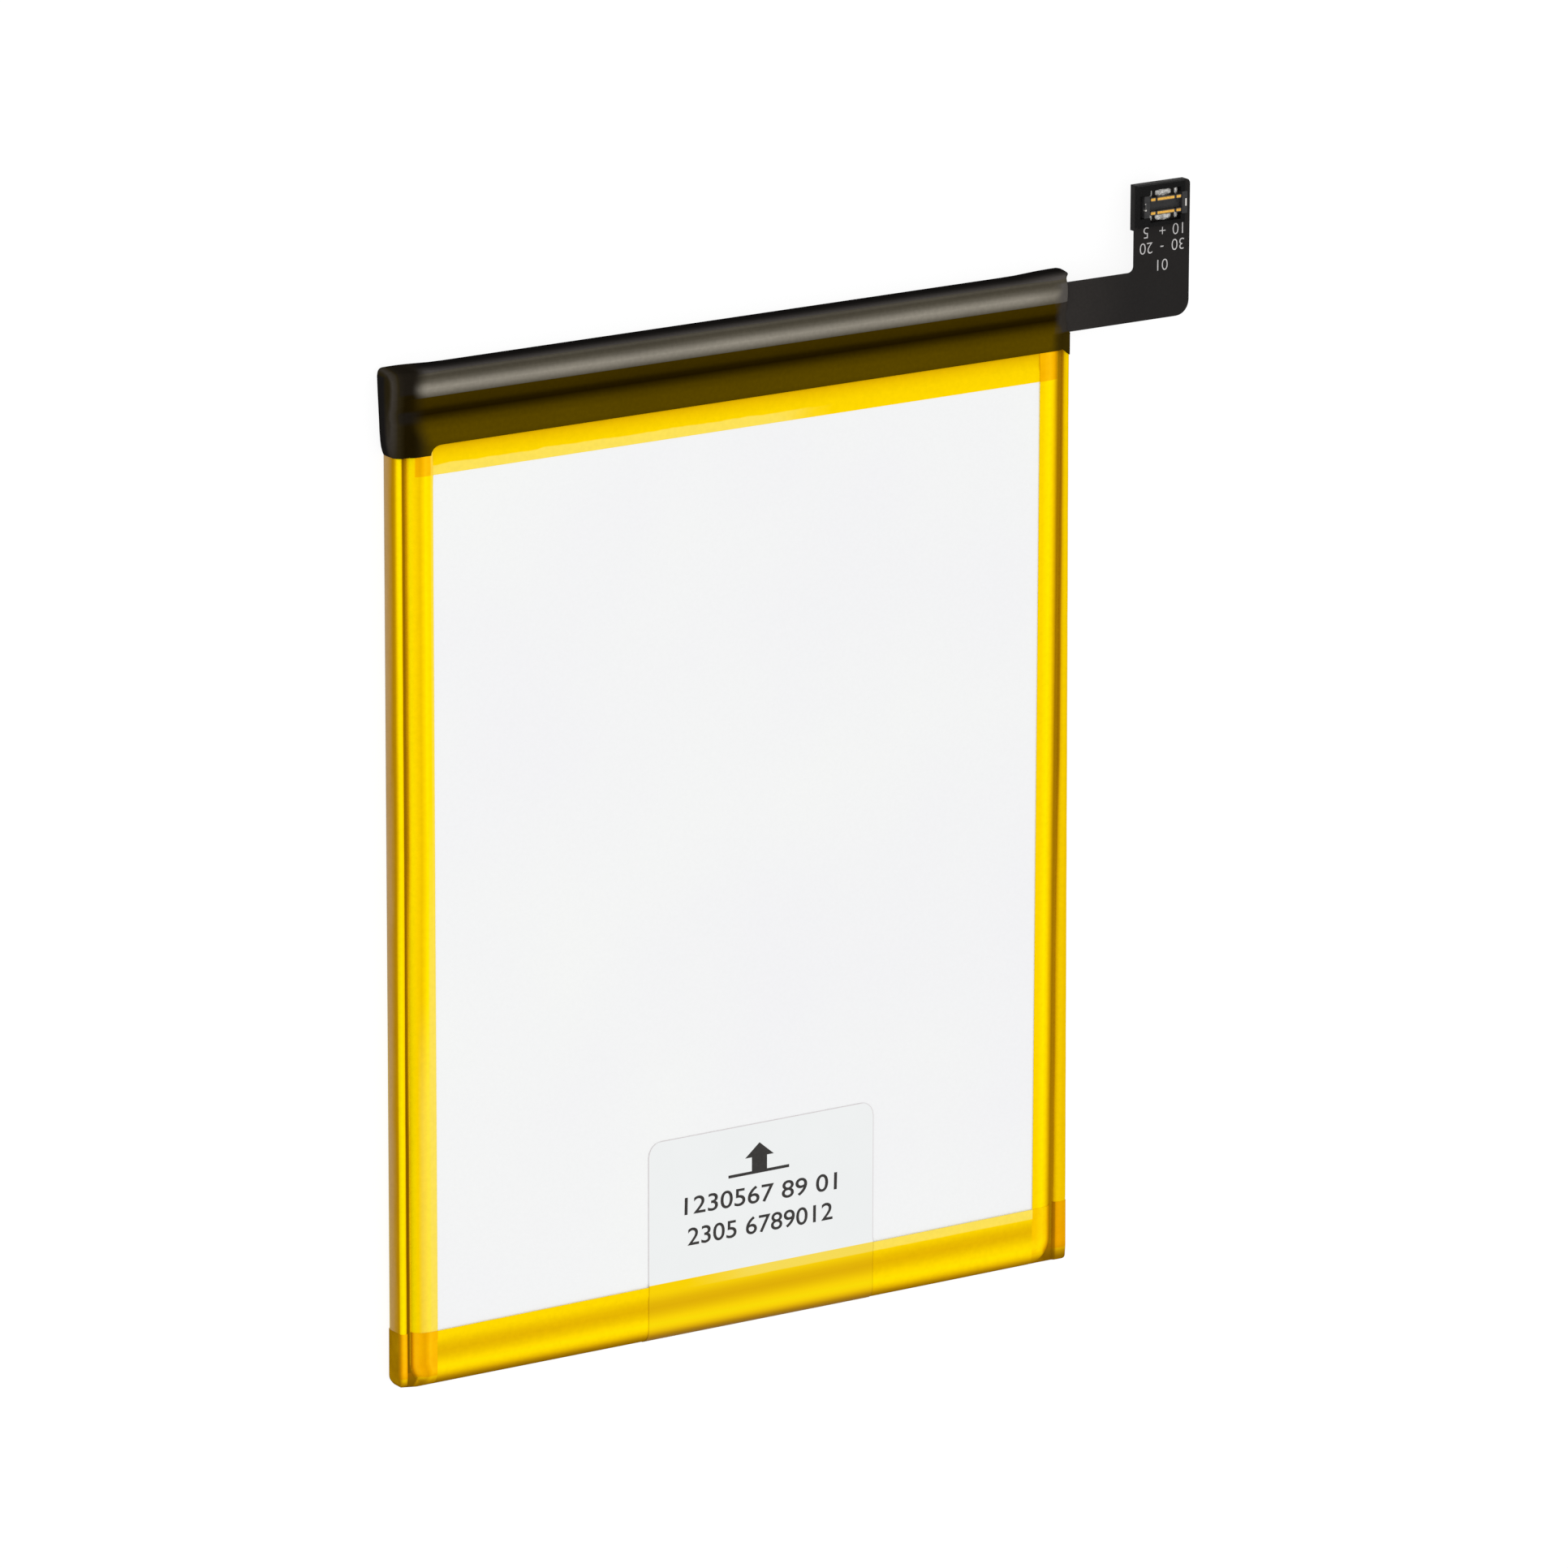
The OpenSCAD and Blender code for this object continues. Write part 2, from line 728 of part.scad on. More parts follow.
module small_part(x, h) {
    capped_chip(x, concat(small_chip, h), concat(small_cap, h + cap_step));
}

module power_switch() {
    color("dimgray") leaded_chip(switch_x, switch_size, switch_lead, switch_pitch);
}

module protection_chip() {
    color("dimgray") leaded_chip(guard_x, guard_size, guard_lead, guard_pitch);
}

module chip_fuse() {
    color("palegreen") capped_chip(fuse_x, fuse_size, fuse_cap);
}

module temperature_sensor() {
    color("saddlebrown") small_part(sensor_x, sensor_h);
}

module chip_resistors() {
    color("black") for (x = resistor_x) small_part(x, resistor_h);
}

module chip_capacitors() {
    color("tan") for (x = capacitor_x) small_part(x, capacitor_h);
}

// The flexible circuit: a strip along the board that leaves the header as an L-shaped tail
module tail_plan() {
    polygon(concat(
        [[board_x0, board_y0], [tail_root, board_y0], [tail_root, tail_y0]],
        arc([tail_x1 - tail_outer_r, tail_y0 + tail_outer_r], tail_outer_r, -90, 0),
        arc([tail_x1 - tail_end_r, tail_y1 - tail_end_r], tail_end_r, 0, 90),
        [[tail_x0, tail_y1]],
        arc([tail_x0 - tail_inner_r, board_y1 + tail_inner_r], tail_inner_r, 0, -90),
        [[board_x0, board_y1]]
    ));
}

module flex_tail() {
    color([0.17, 0.16, 0.15]) translate([0, 0, flex_z0]) linear_extrude(flex_t) tail_plan();
}

module connector_stiffener() {
    color([0.12, 0.12, 0.12]) translate([0, 0, flex_z0 - stiffener_t])
        linear_extrude(stiffener_t) polygon(concat(
            [[tail_x0, tail_y1 - stiffener_l], [tail_x1, tail_y1 - stiffener_l]],
            arc([tail_x1 - tail_end_r, tail_y1 - tail_end_r], tail_end_r, 0, 90),
            [[tail_x0, tail_y1]]
        ));
}

// Foam frame with a stepped window, open at the right for the housing's end block
module connector_frame() {
    window_l = signal_x + signal_l / 2 + conn_gap;
    feet = wall_y + conn_wall / 2 + foot_l + conn_gap;
    color([0.1, 0.1, 0.1]) difference() {
        block([tail_x0, tail_y1 - frame_l, flex_z1], [tail_x1 - frame_margin, tail_y1, flex_z1 + frame_h]);
        block(
            [tail_x0 + frame_bar, conn_y - conn_w / 2 - conn_gap, 0],
            [tail_x1, conn_y + conn_w / 2 + conn_gap, pack_l]
        );
        block([conn_x - window_l, conn_y - feet, 0], [conn_x + window_l, conn_y + feet, pack_l]);
    }
}

// Housing with a trench between two contact walls and a block at each end
module connector_housing() {
    wall_l = conn_l / 2 - block_l;
    color([0.2, 0.2, 0.2]) translate([conn_x, conn_y, flex_z1]) difference() {
        union() {
            block([-wall_l, -wall_y - conn_wall / 2, 0], [wall_l, wall_y + conn_wall / 2, conn_floor]);
            for (side = [-1, 1]) {
                block(
                    [-wall_l, side * wall_y - conn_wall / 2, 0],
                    [wall_l, side * wall_y + conn_wall / 2, conn_h - contact_t]
                );
                mirror([side < 0 ? 1 : 0, 0, 0])
                    block([wall_l, -conn_w / 2, 0], [conn_l / 2, conn_w / 2, conn_h]);
            }
        }
        for (side = [-1, 1]) mirror([side < 0 ? 1 : 0, 0, 0])
            block([conn_l / 2 - clip_d, -clip_w / 2, clip_z], [conn_l, clip_w / 2, conn_h + cut]);
    }
}

// Contact metal folded over a long wall, centred at x on the wall at the side given by its sign
module contact(x, side, l) {
    outer = conn_wall / 2 + contact_t;
    translate([conn_x + x, conn_y + side * wall_y, flex_z1]) difference() {
        block([-l / 2, -outer, 0], [l / 2, outer, conn_h]);
        block([-l, -conn_wall / 2, -cut], [l, conn_wall / 2, conn_h - contact_t]);
        // The leg in the trench stands on the housing's floor
        mirror([0, side > 0 ? 0 : 1, 0]) block([-l, -outer - cut, -cut], [l, 0, conn_floor]);
    }
}

module power_contacts() {
    color("goldenrod") for (side = [-1, 1]) contact(0, side, power_l);
}

module signal_contacts() {
    color("goldenrod") for (side = [-1, 1], x = [-signal_x, signal_x]) contact(x, side, signal_l);
}

module solder_feet() {
    wall = wall_y + conn_wall / 2;
    color("silver") translate([conn_x, conn_y, flex_z1])
        for (side = [-1, 1], foot = [[-signal_x, signal_l], [0, power_l], [signal_x, signal_l]])
            mirror([0, side < 0 ? 1 : 0, 0]) block(
                [foot[0] - foot[1] / 2 + foot_step, wall + contact_t, 0],
                [foot[0] + foot[1] / 2 - foot_step, wall + foot_l, foot_t]
            );
}

// Clips in the notches of the end blocks that hold the housing down
module hold_down_clips() {
    x = conn_l / 2 - clip_d;
    color("silver") translate([conn_x, conn_y, flex_z1])
        for (side = [-1, 1]) mirror([side < 0 ? 1 : 0, 0, 0])
            block([x, -clip_w / 2, clip_z], [x + clip_t, clip_w / 2, conn_h]);
}

cell_pouch();
front_label();
top_tape();
side_tape(-1);  // side_tape_left
side_tape(1);  // side_tape_right
bottom_tape();
header_wrap();
pull_tab();
cover_strip();
terrace_insulator();
positive_tab();
negative_tab();
positive_tab_seal();
negative_tab_seal();
positive_weld_plate();
negative_weld_plate();
circuit_board();
power_switch();
protection_chip();
chip_fuse();
temperature_sensor();
chip_resistors();
chip_capacitors();
flex_tail();
connector_stiffener();
connector_frame();
connector_housing();
power_contacts();
signal_contacts();
solder_feet();
hold_down_clips();
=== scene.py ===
import math

import bmesh
import bpy
from mathutils import Matrix, Vector, noise


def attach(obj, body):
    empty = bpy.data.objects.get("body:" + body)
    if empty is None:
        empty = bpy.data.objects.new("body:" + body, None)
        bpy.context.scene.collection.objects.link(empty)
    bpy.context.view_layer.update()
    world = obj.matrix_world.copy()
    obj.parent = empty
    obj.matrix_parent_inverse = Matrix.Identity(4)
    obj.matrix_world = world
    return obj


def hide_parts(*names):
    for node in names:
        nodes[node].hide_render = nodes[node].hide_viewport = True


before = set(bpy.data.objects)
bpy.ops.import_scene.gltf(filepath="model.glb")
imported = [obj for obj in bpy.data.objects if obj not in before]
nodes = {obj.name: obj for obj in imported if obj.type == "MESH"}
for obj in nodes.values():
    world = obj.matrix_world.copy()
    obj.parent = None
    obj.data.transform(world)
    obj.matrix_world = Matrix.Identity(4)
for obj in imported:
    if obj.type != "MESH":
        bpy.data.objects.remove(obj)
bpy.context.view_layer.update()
mm = 0.001
print("frame loaded:", len(nodes), "nodes")


shot = {
    "place": (-457.377, 245.196, 716.611),
    "turn": (-15.9946, -32.8282, 0.2015),
    "lens": 259.104,
    "sensor": 36.0,
}
camera = bpy.data.cameras.new("camera")
camera.lens = shot["lens"]
camera.sensor_width = shot["sensor"]
camera.clip_start = 0.05
camera.clip_end = 20.0
cameraObject = bpy.data.objects.new("camera", camera)
cameraObject.location = Vector(shot["place"]) * mm
cameraObject.rotation_euler = [math.radians(a) for a in shot["turn"]]
bpy.context.scene.collection.objects.link(cameraObject)
bpy.context.scene.camera = cameraObject
bpy.context.scene.view_settings.view_transform = "Standard"


def addNode(tree, kind, inputs=None, **settings):
    node = tree.nodes.new("ShaderNode" + kind)
    for key, value in settings.items():
        setattr(node, key, value)
    for key, value in (inputs or {}).items():
        if isinstance(value, bpy.types.NodeSocket):
            tree.links.new(value, node.inputs[key])
        else:
            node.inputs[key].default_value = value
    return node


lamps = {
    "key": {"place": (-0.55, 0.35, 0.95), "size": 0.7, "power": 2.9},
    "fill": {"place": (0.75, -0.55, 0.6), "size": 0.6, "power": 1.0},
    "worldLevel": 0.82,
    "floorSize": 6.0,
    "floorColour": 0.16,
    "floorGlow": 0.88,
    "floorBounce": 0.3,
}


def addLamp(name, place, size, power):
    lamp = bpy.data.lights.new(name, "AREA")
    lamp.size = size
    lamp.energy = power
    lampObject = bpy.data.objects.new(name, lamp)
    lampObject.location = place
    lampObject.rotation_euler = Vector(place).to_track_quat("Z", "Y").to_euler()
    bpy.context.scene.collection.objects.link(lampObject)


addLamp("keyLamp", **lamps["key"])
addLamp("fillLamp", **lamps["fill"])


def seenDirectly(tree):
    # 1 for camera, glossy and transmission rays, so that gloss shows the white background too
    path = addNode(tree, "LightPath")
    both = addNode(tree, "Math", {0: path.outputs["Is Camera Ray"], 1: path.outputs["Is Glossy Ray"]}, operation="MAXIMUM")
    return addNode(tree, "Math", {0: both.outputs[0], 1: path.outputs["Is Transmission Ray"]}, operation="MAXIMUM").outputs[0]


world = bpy.data.worlds.new("studio")
bpy.context.scene.world = world
world.use_nodes = True
sky = world.node_tree
sky.nodes.clear()
dim = addNode(sky, "Background", {"Color": (1, 1, 1, 1), "Strength": lamps["worldLevel"]})
white = addNode(sky, "Background", {"Color": (1, 1, 1, 1), "Strength": 1.0})
path = addNode(sky, "LightPath")
skyMix = addNode(sky, "MixShader", {0: path.outputs["Is Camera Ray"], 1: dim.outputs[0], 2: white.outputs[0]})
addNode(sky, "OutputWorld", {"Surface": skyMix.outputs[0]})

floorMaterial = bpy.data.materials.new("floor")
floorMaterial.use_nodes = True
tree = floorMaterial.node_tree
tree.nodes.clear()
level = lamps["floorColour"]
matt = addNode(tree, "BsdfDiffuse", {"Color": (level, level, level, 1)})
glow = addNode(tree, "Emission", {"Color": (1, 1, 1, 1)})
seenGlow = lamps["floorGlow"] - lamps["floorBounce"]
strength = addNode(
    tree, "Math", {0: seenDirectly(tree), 1: seenGlow, 2: lamps["floorBounce"]}, operation="MULTIPLY_ADD"
)
tree.links.new(strength.outputs[0], glow.inputs["Strength"])
both = addNode(tree, "AddShader", {0: matt.outputs[0], 1: glow.outputs[0]})
addNode(tree, "OutputMaterial", {"Surface": both.outputs[0]})

floorShape = bmesh.new()
bmesh.ops.create_grid(floorShape, x_segments=1, y_segments=1, size=lamps["floorSize"] / 2)
floorMesh = bpy.data.meshes.new("floor")
floorShape.to_mesh(floorMesh)
floorShape.free()
floorMesh.materials.append(floorMaterial)
floor = bpy.data.objects.new("floor", floorMesh)
bpy.context.scene.collection.objects.link(floor)
print("camera, light and floor ready")


def shade(red, green, blue):
    # a colour on the 0 to 255 display scale, as the shader's linear numbers
    def line(value):
        value /= 255
        return value / 12.92 if value <= 0.04045 else ((value + 0.055) / 1.055) ** 2.4

    return (line(red), line(green), line(blue), 1.0)


def startMaterial(name):
    material = bpy.data.materials.new(name)
    material.use_nodes = True
    tree = material.node_tree
    tree.nodes.clear()
    shader = addNode(tree, "BsdfPrincipled")
    addNode(tree, "OutputMaterial", {"Surface": shader.outputs[0]})
    place = addNode(tree, "TexCoord").outputs["Object"]
    split = addNode(tree, "SeparateXYZ", {0: place})
    axes = [addNode(tree, "Math", {0: split.outputs[i], 1: 1000.0}, operation="MULTIPLY").outputs[0] for i in range(3)]
    return material, tree, shader, place, axes


def setShader(shader, **values):
    for key, value in values.items():
        shader.inputs[key.replace("_", " ")].default_value = value


def step(tree, value, low, high):
    # 0 below low and 1 above high, with a soft change between them; low above high turns it round
    if low <= high:
        return addNode(tree, "MapRange", {0: value, 1: low, 2: high, 3: 0.0, 4: 1.0}, interpolation_type="SMOOTHSTEP").outputs[0]
    return addNode(tree, "MapRange", {0: value, 1: high, 2: low, 3: 1.0, 4: 0.0}, interpolation_type="SMOOTHSTEP").outputs[0]


def times(tree, *values):
    result = values[0]
    for value in values[1:]:
        result = addNode(tree, "Math", {0: result, 1: value}, operation="MULTIPLY").outputs[0]
    return result


def plus(tree, first, second):
    return addNode(tree, "Math", {0: first, 1: second}, operation="ADD").outputs[0]


def blendColour(tree, factor, first, second, mode="MIX"):
    mix = addNode(tree, "Mix", data_type="RGBA", blend_type=mode)
    for socket, value in ((mix.inputs[0], factor), (mix.inputs[6], first), (mix.inputs[7], second)):
        if isinstance(value, bpy.types.NodeSocket):
            tree.links.new(value, socket)
        else:
            socket.default_value = value
    return mix.outputs[2]


def colourAlong(tree, value, stops):
    # stops: (place in mm, colour)
    low, high = stops[0][0], stops[-1][0]
    spread = addNode(tree, "MapRange", {0: value, 1: low, 2: high, 3: 0.0, 4: 1.0})
    ramp = addNode(tree, "ValToRGB", {0: spread.outputs[0]})
    points = ramp.color_ramp.elements
    while len(points) < len(stops):
        points.new(0.5)
    for point, (where, colour) in zip(points, stops):
        point.position = (where - low) / (high - low)
    for point, (where, colour) in zip(ramp.color_ramp.elements, stops):
        point.color = shade(*colour)
    return ramp.outputs[0]


def levelAlong(tree, value, stops):
    low, high = stops[0][0], stops[-1][0]
    spread = addNode(tree, "MapRange", {0: value, 1: low, 2: high, 3: 0.0, 4: 1.0})
    ramp = addNode(tree, "ValToRGB", {0: spread.outputs[0]})
    points = ramp.color_ramp.elements
    while len(points) < len(stops):
        points.new(0.5)
    for point, (where, amount) in zip(points, stops):
        point.position = (where - low) / (high - low)
    for point, (where, amount) in zip(ramp.color_ramp.elements, stops):
        point.color = (amount, amount, amount, 1)
    return ramp.outputs[0]


def grain(tree, place, scale, detail=3.0, stretch=(1, 1, 1), rough=0.5):
    turned = addNode(tree, "Mapping", {"Vector": place, "Scale": stretch})
    return addNode(tree, "TexNoise", {"Vector": turned.outputs[0], "Scale": scale, "Detail": detail, "Roughness": rough}).outputs["Fac"]


def spreadLevel(tree, value, low, high):
    return addNode(tree, "MapRange", {0: value, 1: 0.3, 2: 0.7, 3: low, 4: high}).outputs[0]


def bumpFrom(tree, shader, height, strength, distance):
    bump = addNode(tree, "Bump", {"Height": height, "Strength": strength, "Distance": distance})
    tree.links.new(bump.outputs[0], shader.inputs["Normal"])


def attribute(tree, name):
    return addNode(tree, "Attribute", attribute_name=name).outputs["Fac"]


def paintedLightAlong(tree, value, stops, palette):
    # a film's colour from a level of painted shade and highlight, 0 for the painted shade deep in a fold and 1 for the
    # brightest painted highlight
    return colourAlong(tree, levelAlong(tree, value, stops), palette)


yellow = {
    # palettes from painted shade at 0 to painted highlight at 1, for one film and for two films over each other
    "single": [
        (0.0, (112, 76, 2)), (0.2, (150, 107, 3)), (0.42, (190, 141, 3)), (0.65, (227, 178, 2)), (0.8, (243, 200, 1)),
        (0.9, (254, 215, 1)), (1.0, (255, 231, 1)),
    ],
    "double": [
        (0.0, (124, 82, 2)), (0.25, (160, 108, 2)), (0.5, (198, 135, 2)), (0.72, (228, 155, 1)), (0.88, (245, 171, 1)),
        (1.0, (255, 184, 12)),
    ],
    "overLabel": (251, 224, 88),
    "topY": 32.65,
    "bottomY": -35.78,
    "labelLap": 0.8,
    "sideEnd": -39.67,
    "inner": {-1: 28.03, 1: 27.75},
    # painted shade and highlight levels from the face out to the side: painted shade in the groove, painted highlights
    # on the shoulder and the wing's top
    -1: [
        (28.0, 0.94), (28.4, 0.95), (28.7, 1.0), (28.85, 0.91), (29.15, 0.76), (29.4, 0.84), (29.65, 0.94), (29.8, 1.0),
        (29.88, 0.9), (29.96, 0.5), (30.08, 0.22), (30.24, 0.24), (30.35, 0.48), (30.46, 0.88), (30.7, 1.0),
        (30.86, 0.93), (30.95, 0.66), (31.02, 0.45),
    ],
    1: [
        (27.7, 0.87), (28.1, 0.89), (28.35, 0.95), (28.7, 1.0), (28.97, 0.93), (29.12, 0.84), (29.25, 0.7), (29.4, 0.56),
        (29.55, 0.43), (29.75, 0.35), (30.25, 0.31), (30.36, 0.4), (30.45, 0.76), (30.6, 0.83), (30.85, 0.8), (31.02, 0.75),
    ],
    # painted shade and highlight levels from the bottom edge up the face: painted shade on the edge, a painted
    # highlight where it rounds over, and a painted shaded dip above it
    "end": [
        (-40.75, 0.1), (-40.5, 0.15), (-40.2, 0.24), (-40.0, 0.38), (-39.8, 0.56), (-39.6, 0.74), (-39.4, 0.87),
        (-39.2, 0.93), (-39.0, 0.95), (-38.7, 0.9), (-38.3, 0.78), (-38.0, 0.7), (-37.7, 0.66), (-37.3, 0.7),
        (-37.0, 0.78), (-36.7, 0.86), (-36.4, 0.9), (-35.6, 0.9),
    ],
    # painted shade on the side tapes, darker towards the bottom edge
    "paintedShadeAtEnd": [(-40.75, 0.12), (-40.4, 0.22), (-40.0, 0.5), (-39.7, 0.76), (-39.4, 0.94), (-39.1, 1.0), (-38.0, 1.0)],
    # painted shade on the top tape, darker up towards the dark film's edge
    "paintedShadeBelowWrap": [(32.6, 0.9), (33.7, 0.87), (34.3, 0.78), (34.7, 0.68), (34.95, 0.62)],
    # the side wall's colour by height: painted shade, with a painted reflection of the floor that turns it greyer low
    # down
    "wall": [
        (0.4, (226, 194, 152)), (0.9, (206, 168, 108)), (1.3, (202, 158, 86)), (1.6, (198, 150, 48)), (1.9, (196, 143, 6)),
        (2.2, (208, 156, 3)),
    ],
    "doubleWall": ((202, 152, 4), (162, 117, 2)),
}


def labelLap(tree, place, x, y, edge, inner, low, high):
    # pale band where the film lies on the label, with a ragged edge along the pack
    waves = grain(tree, place, 90, 3.0, (1, 2.5, 1))
    ragged = times(tree, plus(tree, grain(tree, place, 420, 2.0, (1, 0.2, 1)), -0.5), 0.08 if edge > inner else -0.35)
    lap = step(tree, plus(tree, y, ragged), inner, edge)
    return times(tree, lap, step(tree, plus(tree, x, times(tree, waves, 14.0)), low, high))


def finishYellow(tree, shader, place, colour, stretch):
    fine = grain(tree, place, 2600, 2.0)
    colour = blendColour(tree, 1.0, colour, spreadLevel(tree, fine, 0.97, 1.02), "MULTIPLY")
    tree.links.new(colour, shader.inputs["Base Color"])
    setShader(shader, Metallic=0.0, IOR=1.45, Specular_IOR_Level=0.0)
    tree.links.new(spreadLevel(tree, grain(tree, place, 700, 3.0), 0.3, 0.42), shader.inputs["Roughness"])
    soft = grain(tree, place, 220, 2.0, stretch)
    bumpFrom(tree, shader, plus(tree, soft, times(tree, fine, 0.06)), 0.22, 0.00025)


def sideMaterial(name, side):
    material, tree, shader, place, (x, y, z) = startMaterial(name)
    across = attribute(tree, "across")
    cloud = grain(tree, place, 260, 3.0)
    # the folds wander a little along the pack
    sway = plus(tree, times(tree, step(tree, y, 5.0, -18.0), 0.1), times(tree, plus(tree, grain(tree, place, 60, 2.0, (0, 1, 0)), -0.5), 0.12))
    across = plus(tree, across, times(tree, sway, float(side), step(tree, across, 28.3, 28.8)))
    # painted shade and highlights across the folds, for one film and for two
    colour = paintedLightAlong(tree, across, yellow[side], yellow["single"])
    double = paintedLightAlong(tree, across, yellow[side], yellow["double"])
    overTop = times(tree, step(tree, y, yellow["topY"] - 0.03, yellow["topY"] + 0.03), step(tree, across, 29.56, 29.44))
    colour = blendColour(tree, times(tree, overTop, spreadLevel(tree, cloud, 0.75, 1.0)), colour, double)
    if side < 0:
        # painted shade deepening the groove on the left, more so low down
        paintedGrooveShade = times(tree, step(tree, across, 29.86, 30.0), step(tree, across, 30.48, 30.32), step(tree, y, 0.0, -25.0), 0.6)
        colour = blendColour(tree, paintedGrooveShade, colour, shade(*yellow["single"][0][1]))
        low = step(tree, y, 8.0, -12.0)
        veil = times(tree, step(tree, across, 29.5, 29.1), step(tree, y, -8.0, -20.0), 0.5)
        colour = blendColour(tree, veil, colour, shade(*yellow["overLabel"]))
        pale = times(tree, step(tree, across, 28.65, 28.45), low)
        colour = blendColour(tree, times(tree, pale, 0.9), colour, shade(*yellow["overLabel"]))
        colour = blendColour(tree, times(tree, step(tree, across, 28.3, 28.15), 0.5), colour, shade(*yellow["overLabel"]))
    # painted shade and painted reflection on the side wall, streaked along the pack
    streaks = grain(tree, place, 1500, 3.0, (1.0, 0.12, 1.0))
    depth = plus(tree, z, times(tree, plus(tree, streaks, -0.5), 0.5))
    wall = times(tree, step(tree, z, 2.28, 2.12), step(tree, across, 30.8, 30.9))
    colour = blendColour(tree, wall, colour, colourAlong(tree, depth, yellow["wall"]))
    finishYellow(tree, shader, place, colour, (1.0, 0.35, 1.0))
    return material


def topMaterial():
    material, tree, shader, place, (x, y, z) = startMaterial("yellowFilmTop")
    # painted shade, darker up towards the dark film
    colour = paintedLightAlong(tree, y, yellow["paintedShadeBelowWrap"], yellow["single"])
    edge = yellow["topY"] + yellow["labelLap"]
    pale = labelLap(tree, place, x, y, edge - 0.08, edge + 0.05, 16.0, 9.0)
    colour = blendColour(tree, pale, colour, shade(*yellow["overLabel"]))
    finishYellow(tree, shader, place, colour, (0.35, 1.0, 1.0))
    return material


def bottomColour(tree, place, x, y, z):
    # colour of the bottom tape, also where it is seen through the pull tab
    # painted shade and highlight up the rounded bottom edge, a little aslant across the pack
    tilted = plus(tree, y, times(tree, plus(tree, x, 20.0), 0.004, step(tree, y, -38.4, -39.2)))
    colour = paintedLightAlong(tree, tilted, yellow["end"], yellow["single"])
    edge = yellow["bottomY"] - yellow["labelLap"]
    pale = labelLap(tree, place, x, y, edge + 0.08, edge - 0.05, 2.0, 10.0)
    return blendColour(tree, pale, colour, shade(*yellow["overLabel"]))


def bottomMaterial():
    material, tree, shader, place, (x, y, z) = startMaterial("yellowFilmBottom")
    across = attribute(tree, "across")
    cloud = grain(tree, place, 300, 3.0)
    single = bottomColour(tree, place, x, y, z)
    # painted shade on the side tapes over the bottom tape: their painted shade and highlights across, darker towards
    # the bottom edge
    paintedEndShade = levelAlong(tree, y, yellow["paintedShadeAtEnd"])
    right = step(tree, x, -0.01, 0.01)
    tone = blendColour(tree, right, levelAlong(tree, across, yellow[-1]), levelAlong(tree, across, yellow[1]))
    tone = times(tree, tone, paintedEndShade)
    # two films deep on the side tapes, less so on the flat at the right
    flatRight = times(tree, right, step(tree, across, 29.6, 29.0))
    deep = plus(tree, spreadLevel(tree, cloud, 0.75, 1.0), times(tree, flatRight, spreadLevel(tree, cloud, -0.75, -0.45)))
    deep = times(tree, deep, step(tree, y, yellow["sideEnd"] - 0.1, yellow["sideEnd"] + 0.1))
    sides = blendColour(
        tree, deep, colourAlong(tree, tone, yellow["single"]), colourAlong(tree, tone, yellow["double"])
    )
    inner = blendColour(tree, right, shade(0, 0, 0), (1, 1, 1, 1))
    shift = times(tree, inner, yellow["inner"][-1] - yellow["inner"][1])
    away = addNode(tree, "Math", {0: x}, operation="ABSOLUTE").outputs[0]
    outside = step(tree, plus(tree, away, shift), yellow["inner"][-1] - 0.02, yellow["inner"][-1] + 0.02)
    colour = blendColour(tree, outside, single, sides)
    wallColour = blendColour(tree, spreadLevel(tree, cloud, 0.0, 1.0), *[shade(*c) for c in yellow["doubleWall"]])
    wall = times(tree, step(tree, z, 2.12, 1.92), step(tree, across, 30.9, 30.98))
    colour = blendColour(tree, wall, colour, wallColour)
    finishYellow(tree, shader, place, colour, (0.35, 1.0, 1.0))
    return material


wrap = {
    "brown": [(0.0, (29, 19, 0)), (1.0, (86, 67, 0))],
    "foil": [(0.0, (72, 67, 56)), (1.0, (142, 136, 124))],
    "black": [(0.0, (21, 19, 18)), (1.0, (82, 78, 75))],
    "bend": [(0.0, (26, 18, 1)), (0.5, (44, 37, 20)), (1.0, (62, 57, 51))],
    # painted shade and highlight levels along the header: painted shade in the valley of the brown film, a painted
    # highlight on the foil under it, painted shade down the back wall, and a painted highlight and groove shade at the
    # left bend
    "brownValleyShade": [
        (34.2, 0.66), (34.95, 0.82), (35.4, 1.0), (36.2, 0.97), (36.75, 0.7), (37.15, 0.28), (37.45, 0.0), (37.75, 0.06),
        (38.1, 0.32), (38.8, 0.4),
    ],
    "foilHighlight": [
        (38.8, 0.08), (39.0, 0.36), (39.25, 0.75), (39.5, 1.0), (39.75, 0.7), (40.0, 0.26), (40.25, 0.04), (40.42, 0.0),
        (40.58, 0.14), (40.66, 0.0),
    ],
    "backWallShade": [(0.3, 0.0), (1.4, 0.02), (1.75, 0.15), (2.0, 0.4), (2.3, 0.72), (2.5, 1.0)],
    "bendLightAndShade": [
        (-31.6, 0.3), (-31.48, 0.5), (-31.34, 1.0), (-31.15, 0.8), (-30.9, 0.5), (-30.6, 0.25), (-30.3, 0.05), (-29.7, 0.03),
        (-29.0, 0.2),
    ],
    "neutral": (31, 29, 28),
    "tail": (50, 46, 42),
    "tailFoil": (84, 80, 76),
    "rightEnd": (52, 40, 5),
}


